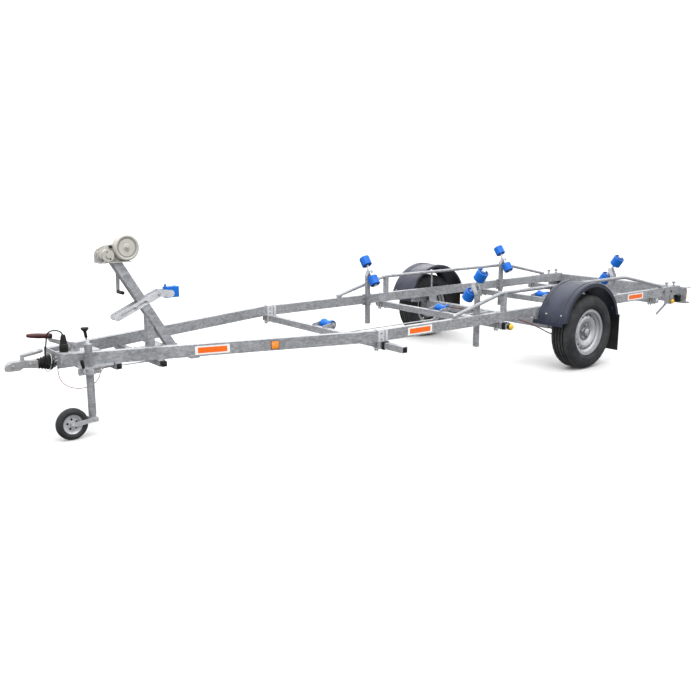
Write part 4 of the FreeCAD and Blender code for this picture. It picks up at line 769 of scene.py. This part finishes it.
def lamps():
    """Lenses in black housings, the round markers before them, and black patches on the board's ends painted
    as the shade inside its slots.
    """
    shell, discs = bmesh.new(), bmesh.new()
    amber, red, clear = bmesh.new(), bmesh.new(), bmesh.new()
    for _, sign in SIDES:
        add_side_block(shell, sign, (LAMP_BACK + LENS_DEEP, LAMP_EDGE, LAMP_LOW),
                       (LAMP_FRONT, LAMP_EDGE - LAMP_WIDE, LAMP_HIGH), 0.004)
        for bm, a, b in ((amber, 0.0, 0.085), (red, 0.085, 0.175), (clear, 0.175, LAMP_WIDE)):
            add_side_block(bm, sign, (LAMP_BACK + 0.0005, LAMP_EDGE - a - 0.003, LAMP_LOW + 0.005),
                           (LAMP_BACK + LENS_DEEP + 0.0005, LAMP_EDGE - b + 0.001, LAMP_HIGH - 0.005), 0.005)
        # Thin black patches on the board's ends: painted shade inside its slots
        for x, z, run, tall in BOARD_SLOTS:
            add_side_block(shell, sign, (x - run, BOARD_SLOTS_Y[0], z - tall),
                           (x + run, BOARD_SLOTS_Y[1], z + tall), 0.0003)
        place = (REAR_MARKER[0], sign * REAR_MARKER[1], REAR_MARKER[2])
        add_turned(shell, scaled(MARKER_CUP, along=sign), place, segments=32)
        add_turned(discs, scaled(MARKER_LENS, 1.15, LENS_TALL * sign), place, segments=40, closed=False)
    obj = piece("lamp_housings", shell, BLACK, "light_board")
    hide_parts("rear_lamps")
    piece("lamp_lens_red", red, LENS_RED, "light_board")
    piece("lamp_lens_amber", amber, LENS_AMBER, "light_board")
    piece("lamp_lens_clear", clear, LENS_CLEAR, "light_board")
    piece("rear_marker_lenses", discs, LENS_YELLOW, "light_board")


def reflector():
    """A square amber reflector on the nose part of the left rail, in a thin frame."""
    x, y, z = REFLECTOR_X, rail_face(REFLECTOR_X), REFLECTOR_Z
    run = Vector((cos(NOSE_TURN), -sin(NOSE_TURN), 0))
    out = Vector((sin(NOSE_TURN), cos(NOSE_TURN), 0))
    place = Matrix(((run.x, out.x, 0, x), (run.y, out.y, 0, y), (run.z, out.z, 1, z), (0, 0, 0, 1)))
    for name, half, depth, mat in (("side_reflector_base", 0.029, 0.003, BLACK),
                                   ("side_reflector", 0.026, 0.006, LENS_AMBER)):
        bm = bmesh.new()
        add_block(bm, (-half, 0, -half), (half, depth, half), 0.0012)
        bmesh.ops.transform(bm, matrix=place, verts=bm.verts)
        frame_piece(name, bm, mat)


def beam_collar():
    """Black collars where the inner tubes leave the crossbeams, and the caps of the nose's beams."""
    collar_half = 0.028
    bm = bmesh.new()
    x, end = beam_x("front_crossbeam"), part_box("front_crossbeam")[1].y
    add_square(bm, x, BEAM_Z, collar_half, 0.776, 0.806, 0.004)
    add_square(bm, x, BEAM_Z, PLUG_HALF, end - 0.004, end, 0.002)
    x, end = beam_x("middle_crossbeam"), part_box("middle_crossbeam")[1].y
    add_square(bm, x, BEAM_Z, collar_half, 0.78, 0.816, 0.004)
    add_rod(bm, (x, end - 0.012, BEAM_Z), (x, end + 0.004, BEAM_Z), 0.027, 32)
    frame_piece("beam_collars", bm, BLACK)
    caps = bmesh.new()
    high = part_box("winch_crossbeams")[1]
    for s in (-1, 1):
        add_square(caps, high.x - 0.02, 0.43, 0.0168, s * (high.y - 0.024), s * (high.y - 0.003), 0.001)
    low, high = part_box("drawbar_crossbeam")
    x = (low.x + high.x) / 2
    for half, y0, y1, gap, bevel in ((0.014, high.y - 0.006, high.y, 0.006, 0.003),
                                     (0.0165, -high.y + 0.002, -high.y + 0.008, 0.0035, 0.002)):
        add_block(caps, (x - half, y0, low.z + gap), (x + half, y1, high.z - gap), bevel)
    frame_piece("nose_beam_caps", caps, BLACK)


def marker_lenses():
    """Domed lenses on the side markers, each in a black cup."""
    lenses, cups = bmesh.new(), bmesh.new()
    low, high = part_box("side_markers")
    x, z = (low.x + high.x) / 2, (low.z + high.z) / 2
    for y, sign in ((high.y, 1), (low.y, -1)):
        base = (x, y - sign * 0.016, z)
        add_turned(lenses, scaled(MARKER_LENS, 1.25, LENS_TALL * sign), base, segments=40, closed=False)
        add_turned(cups, scaled(MARKER_CUP, 1.2, 1.15 * sign), base, segments=40)
    obj = frame_piece("side_marker_lenses", lenses, LENS_YELLOW)
    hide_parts("side_markers")
    frame_piece("side_marker_cups", cups, BLACK)


# nose and winch

SPOOL_STRAP = [(0.0425, -0.046), (0.06, -0.046), (0.061, -0.044), (0.061, 0.001), (0.06, 0.003),
               (0.0425, 0.003)]
# The ring of painted shade for the case face's groove, as (radius, height) from the face
CASE_GROOVE_SHADE = [(0.0565, -0.0005), (0.0565, 0.0006), (0.0655, 0.0006), (0.0655, -0.0005)]
RATCHET_TEETH, RATCHET_TIP_R, RATCHET_ROOT_R = 18, 0.0285, 0.0235
PLUG_BODY_R, PLUG_RIB_R = 0.0262, 0.029
GAITER_RING_R, GAITER_WIRE_R = 0.056, 0.0026
JOCKEY_HOLES, JOCKEY_HOLE_R, JOCKEY_HOLES_R = 5, 0.0072, 0.031
JOCKEY_BEAD = [(0.0475, 0.0075), (0.049, 0.0128), (0.0515, 0.015), (0.054, 0.015), (0.0548, 0.0128),
               (0.0535, 0.0085)]
CLAMP_GRIP = [(0.0, 0.0), (0.0085, 0.0), (0.0098, 0.006), (0.0108, 0.024), (0.0112, 0.042), (0.0095, 0.053),
              (0.0, 0.0565)]
CRANK_COLLAR = [(0.0055, 0.004), (0.0135, 0.004), (0.0135, 0.01), (0.01, 0.03), (0.0075, 0.036),
                (0.0055, 0.036)]
CRANK_SLEEVE = [(0.0055, 0.05), (0.009, 0.05), (0.0095, 0.056), (0.0095, 0.09), (0.0055, 0.09)]
LEVER_COLLAR = [(0.0, -0.013), (0.014, -0.013), (0.0168, -0.009), (0.0172, 0.004), (0.015, 0.006),
                (0.0, 0.006)]
BLOCK_KNOB = [(0.0, 0.0), (0.006, 0.0), (0.006, 0.007), (0.009, 0.009), (0.0095, 0.014), (0.007, 0.018),
              (0.0, 0.019)]


def bow_fittings():
    """Inner strips behind the slots of the bow arm, its bolts, and the knob on the block."""
    knee, front = Vector(at(3434, 0, 838)), Vector(at(3746, 0, 700))
    run = (front - knee).normalized()
    up = Vector((-run.z, 0, run.x))
    length = (front - knee).length
    arm = Matrix(((run.x, 0, up.x, knee.x), (0, 1, 0, 0), (run.z, 0, up.z, knee.z), (0, 0, 0, 1)))
    strips = bmesh.new()
    for s in (-1, 1):
        add_side_block(strips, s, (length - 0.236, 0.0266, -0.0125), (length - 0.018, 0.0298, 0.0125), 0.001)
    bmesh.ops.transform(strips, matrix=arm, verts=strips.verts)
    frame_piece("bow_arm_strips", strips, ZINC_BRIGHT)
    metal = bmesh.new()
    for x, z in ((3616, 757), (3534, 794), (3446, 832)):
        for s in (-1, 1):
            add_bolt(metal, at(x, s * 35.0, z), (0, s, 0), *BOW_BOLT)
    frame_piece("bow_arm_bolts", metal, ZINC_BOLT)
    knob = bmesh.new()
    add_turned(knob, BLOCK_KNOB, at(3384, 0, 873.5), (0, 0, 1), 24, False)
    frame_piece("bow_block_knob", knob, BLUE)


def ratchet_wheel(bm, hub, near_y, far_y):
    """A toothed wheel about a line along Y."""
    points = [round_y(hub, RATCHET_TIP_R if k % 2 else RATCHET_ROOT_R, pi * k / RATCHET_TEETH)
              for k in range(2 * RATCHET_TEETH)]
    near = [bm.verts.new((p.x, near_y, p.z)) for p in points]
    far = [bm.verts.new((p.x, far_y, p.z)) for p in points]
    bm.faces.new(near)
    bm.faces.new(list(reversed(far)))
    for k in range(len(points)):
        j = (k + 1) % len(points)
        bm.faces.new((near[k], near[j], far[j], far[k]))


def winch_details():
    """The winch's strap, bolts, toothed ratchet wheel, a dark ring painted as the shade of the groove in its
    case face, black discs painted as the shade in the frame's holes, and a black pin.
    """
    spool = Vector(at(3664, 0, 1158))
    case_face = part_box("winch_drum")[1].y
    low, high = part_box("winch_frame")
    strap = bmesh.new()
    add_turned(strap, SPOOL_STRAP, spool, segments=56)
    frame_piece("winch_strap_roll", strap, STRAP)
    bolts = bmesh.new()
    add_bolt(bolts, (spool.x, case_face - 0.0005, spool.z), (0, 1, 0), *SPOOL_BOLT)
    for x in (high.x - 0.03, high.x - 0.115):
        for y in (0.045, -0.03):
            add_bolt(bolts, (x, y, low.z + 0.004), (0, 0, 1), *PLATE_BOLT)
    frame_piece("winch_bolts", bolts, ZINC_BOLT)
    wheel = bmesh.new()
    ratchet_wheel(wheel, at(3826, 0, 1114), 0.024, 0.014)
    add_block(wheel, (high.x - 0.046, -0.0522, low.z - 0.0012), (high.x + 0.001, 0.0522, low.z + 0.0046),
              0.001)
    frame_piece("winch_ratchet", wheel, ZINC_BRIGHT)
    # A darker ring just proud of the case face: painted shade standing in for its groove
    groove = bmesh.new()
    add_turned(groove, CASE_GROOVE_SHADE, (spool.x, case_face - 0.005, spool.z), segments=64)
    frame_piece("winch_case_groove_shade", groove, WINCH_PAINTED_SHADE)
    # Black discs on the frame's sides are painted shade of its holes; the last rod is a black pin
    dark = bmesh.new()
    for x, y, z, r in ((3818, 34, 1101, 0.0055), (3776, 44, 1089, 0.0055), (3797, 44, 1134, 0.004)):
        base = Vector(at(x, y, z))
        add_rod(dark, base - Vector((0, 0.001, 0)), base + Vector((0, 0.0012, 0)), r, 20)
    pin = Vector(at(3762, 8, 1166))
    add_rod(dark, pin, pin + Vector((0, 0.018, 0)), 0.0085, 20)
    frame_piece("winch_pin_and_hole_shades", dark, BLACK)


def plug_details():
    """The ribbed cover of the parked connector and the long boot where its lead leaves it."""
    line = [(PLUG_BODY_R, 0.0)]
    for z in (0.004, 0.015, 0.026):
        line += [(PLUG_BODY_R, z), (PLUG_RIB_R, z + 0.002), (PLUG_RIB_R, z + 0.007), (PLUG_BODY_R, z + 0.009)]
    line += [(PLUG_BODY_R, 0.046), (0.0225, 0.05), (0.0205, 0.066), (0.018, 0.083), (0.015, 0.099),
             (0.012, 0.108), (0.007, 0.11), (0.005, 0.11), (0.005, 0.0)]
    bm = bmesh.new()
    add_turned(bm, line, at(4133, 90, PLUG_PLATE_TOP / MM), (0, 0, 1), 40)
    frame_piece("connector_cover", bm, BLACK)


def add_handle(bm, start, end, up, sections):
    """A bar of eight-sided sections, given as place along it, half width and half height."""
    corners = ((-1, -0.4), (-0.7, -1), (0.7, -1), (1, -0.4), (1, 0.4), (0.7, 1), (-0.7, 1), (-1, 0.4))
    rings = []
    for t, half, tall in sections:
        middle = start + (end - start) * t
        rings.append([bm.verts.new(middle + Vector((0, y * half, 0)) + up * (z * tall)) for y, z in corners])
    for a, b in zip(rings, rings[1:]):
        for k in range(8):
            j = (k + 1) % 8
            bm.faces.new((a[k], a[j], b[j], b[k]))
    bm.faces.new(list(reversed(rings[0])))
    bm.faces.new(rings[-1])


def nose_details():
    """The steel ring on the gaiter, the coupling's handle and rivets, and the nose plate's bolts."""
    ring = bmesh.new()
    wire = [(GAITER_RING_R + GAITER_WIRE_R * cos(turn), GAITER_WIRE_R * sin(turn))
            for turn in (2 * pi * k / 12 for k in range(12))]
    add_turned(ring, wire, at(4206, 0, 458), (1, 0, 0.22), 64)
    frame_piece("gaiter_ring", ring, ZINC_PALE)
    handle = bmesh.new()
    start, end = Vector(at(4364, 0, 524)), Vector(at(4238, 0, 544))
    run = (end - start).normalized()
    add_handle(handle, start, end, Vector((run.z, 0, -run.x)),
               ((0.0, 0.01, 0.006), (0.05, 0.0145, 0.011), (0.5, 0.015, 0.0125), (0.93, 0.0145, 0.011),
                (1.0, 0.011, 0.006)))
    frame_piece("coupling_handle", handle, CAST, 50)
    metal = bmesh.new()
    for s in (-1, 1):
        for x, y, size in ((4300, 26.5, 0.0085), (4326, 25.0, 0.0085), (4432, 34.0, 0.0105)):
            add_bolt(metal, at(x, s * y, 470), (0, s, 0), size, RIVET_TALL)
    for y, z in ((-74, 502), (74, 502), (-74, 474), (80, 480)):
        add_bolt(metal, at(4180, y, z), (1, 0, 0), *PLATE_BOLT)
    frame_piece("coupling_bolts", metal, ZINC_BOLT)


def jockey_details():
    """Black discs painted as the shade in the holes of the jockey wheel's disc, a bead on that disc, its
    clamp's grip, and its crank's collar and sleeve.
    """
    centre = middle_of("jockey_rim")
    hole_shades, bead = bmesh.new(), bmesh.new()
    # thin black discs where the disc's holes are: painted shade
    for s in (-1, 1):
        for k in range(JOCKEY_HOLES):
            base = round_y(centre, JOCKEY_HOLES_R, 2 * pi * k / JOCKEY_HOLES + 0.2, s * 0.0066)
            add_rod(hole_shades, base, base + Vector((0, s * 0.0011, 0)), JOCKEY_HOLE_R, 20)
        add_turned(bead, scaled(JOCKEY_BEAD, along=s), centre, segments=56)
    piece("jockey_rim_hole_shades", hole_shades, HOLE_SHADE, "jockey_wheel")
    piece("jockey_rim_bead", bead, ZINC_PALE, "jockey_wheel")
    grip = bmesh.new()
    foot, tip = Vector(at(4083, 270, 452)), Vector(at(4093, 270, 508))
    add_turned(grip, CLAMP_GRIP, foot, tip - foot, 28, False)
    frame_piece("jockey_clamp_grip", grip, BLACK)
    low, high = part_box("jockey_outer_tube")
    foot = Vector((high.x - 0.038, (low.y + high.y) / 2, high.z - 0.112))
    lean = (0.014, 0, 0.088)
    collar, sleeve = bmesh.new(), bmesh.new()
    add_turned(collar, CRANK_COLLAR, foot, lean, 28)
    frame_piece("jockey_crank_collar", collar, ZINC_PALE)
    add_turned(sleeve, CRANK_SLEEVE, foot, lean, 28)
    frame_piece("jockey_crank_sleeve", sleeve, BLACK)


def lever_grip():
    """The thick moulded grip of the handbrake lever, with its black collar."""
    start, end = Vector(at(4186.0, 0.0, 627.8)), Vector(at(4330.0, 0.0, 645.8))
    length = (end - start).length
    grip, collar = bmesh.new(), bmesh.new()
    line = [(0.0, 0.0), (0.0135, 0.0), (0.0155, 0.004), (0.0165, 0.02), (0.016, 0.045), (0.0168, 0.07),
            (0.0158, 0.095), (0.014, 0.12), (0.0105, length - 0.006), (0.006, length - 0.001),
            (0.0, length)]
    add_turned(grip, line, start, end - start, 32, False)
    frame_piece("brake_lever_grip", grip, GRIP_RED)
    add_turned(collar, LEVER_COLLAR, start, end - start, 28, False)
    frame_piece("brake_lever_collar", collar, BLACK)


# stage

FLOOR_HALF = 60.0
FLOOR_DARK, FLOOR_LIGHT = 0.62, 0.635
# Soft lamps: name, place, what they point at, size and power
SOFT_LAMPS = (
    ("key", (2.0, 3.0, 6.0), (0, 0, 0.4), (3.5, 2.5), 170.0),
    ("back", (-3.0, -6.0, 4.0), (0, 0, 0.5), (6.0, 2.0), 90.0),
)
DOME_GAIN = 3.0
# The dome's tones, from straight down at 0 to straight up at 1
DOME_TONES = ((0.0, 0.10), (0.44, 0.12), (0.485, 0.36), (0.62, 0.37), (0.80, 0.62), (1.0, 0.92))


def floor():
    """A pale floor that doesn't light the trailer from below."""
    mesh = bpy.data.meshes.new("floor")
    h = FLOOR_HALF
    mesh.from_pydata([(-h, -h, 0), (h, -h, 0), (h, h, 0), (-h, h, 0)], [], [(0, 1, 2, 3)])
    obj = bpy.data.objects.new("floor", mesh)
    bpy.context.scene.collection.objects.link(obj)
    tone = Shader("floor_white", roughness=0.9)
    tone.colour(tone.ramp(tone.noise(0.4, 2.0), [(0.3, (FLOOR_DARK,) * 3), (0.7, (FLOOR_LIGHT,) * 3)]))
    mesh.materials.append(tone.mat)
    obj.visible_diffuse = False
    obj.visible_glossy = False


def dome():
    """A studio dome: white at eye level, brighter overhead, dim from below."""
    world = bpy.data.worlds.new("studio")
    world.use_nodes = True
    tree = world.node_tree
    background = tree.nodes["Background"]
    background.inputs["Color"].default_value = (1.0, 1.0, 1.0, 1.0)
    split = tree.nodes.new("ShaderNodeSeparateXYZ")
    tree.links.new(tree.nodes.new("ShaderNodeTexCoord").outputs["Generated"], split.inputs["Vector"])
    level = tree.nodes.new("ShaderNodeFloatCurve")
    curve = level.mapping.curves[0]
    for point, place in zip(curve.points, (DOME_TONES[0], DOME_TONES[-1])):
        point.location = place
    for place in DOME_TONES[1:-1]:
        curve.points.new(*place)
    for point in curve.points:
        point.handle_type = "VECTOR"
    level.mapping.update()
    shift = tree.nodes.new("ShaderNodeMapRange")
    for key, number in (("From Min", -1.0), ("From Max", 1.0), ("To Min", 0.0), ("To Max", 1.0)):
        shift.inputs[key].default_value = number
    gain = tree.nodes.new("ShaderNodeMath")
    gain.operation = "MULTIPLY"
    gain.inputs[1].default_value = DOME_GAIN
    tree.links.new(split.outputs["Z"], shift.inputs["Value"])
    tree.links.new(shift.outputs["Result"], level.inputs["Value"])
    tree.links.new(level.outputs["Value"], gain.inputs[0])
    tree.links.new(gain.outputs["Value"], background.inputs["Strength"])
    bpy.context.scene.world = world
    bpy.context.scene.view_settings.view_transform = "Standard"


def area_light(name, place, target, size, energy):
    data = bpy.data.lights.new(name, "AREA")
    data.shape = "RECTANGLE"
    data.size, data.size_y = size
    data.energy = energy
    obj = bpy.data.objects.new(name, data)
    bpy.context.scene.collection.objects.link(obj)
    obj.location = place
    obj.rotation_euler = (Vector(target) - Vector(place)).to_track_quat("-Z", "Y").to_euler()


def camera():
    data = bpy.data.cameras.new("camera")
    data.sensor_width = 36.0
    data.lens = CAMERA_LENS
    data.clip_end = 200.0
    obj = bpy.data.objects.new("camera", data)
    bpy.context.scene.collection.objects.link(obj)
    obj.location = CAMERA_PLACE
    flat = cos(CAMERA_PITCH)
    heading = Vector((cos(CAMERA_HEADING) * flat, sin(CAMERA_HEADING) * flat, -sin(CAMERA_PITCH)))
    obj.rotation_euler = heading.to_track_quat("-Z", "Y").to_euler()
    bpy.context.scene.camera = obj


def main():
    camera()
    floor()
    dome()
    for lamp in SOFT_LAMPS:
        area_light(*lamp)
    paint_nodes()
    cords()
    wheels()
    beam_fittings()
    post_fittings()
    rocker_fittings()
    keel_fittings()
    guard_fittings()
    stickers()
    lamps()
    reflector()
    beam_collar()
    marker_lenses()
    bow_fittings()
    winch_details()
    plug_details()
    nose_details()
    jockey_details()
    lever_grip()


main()
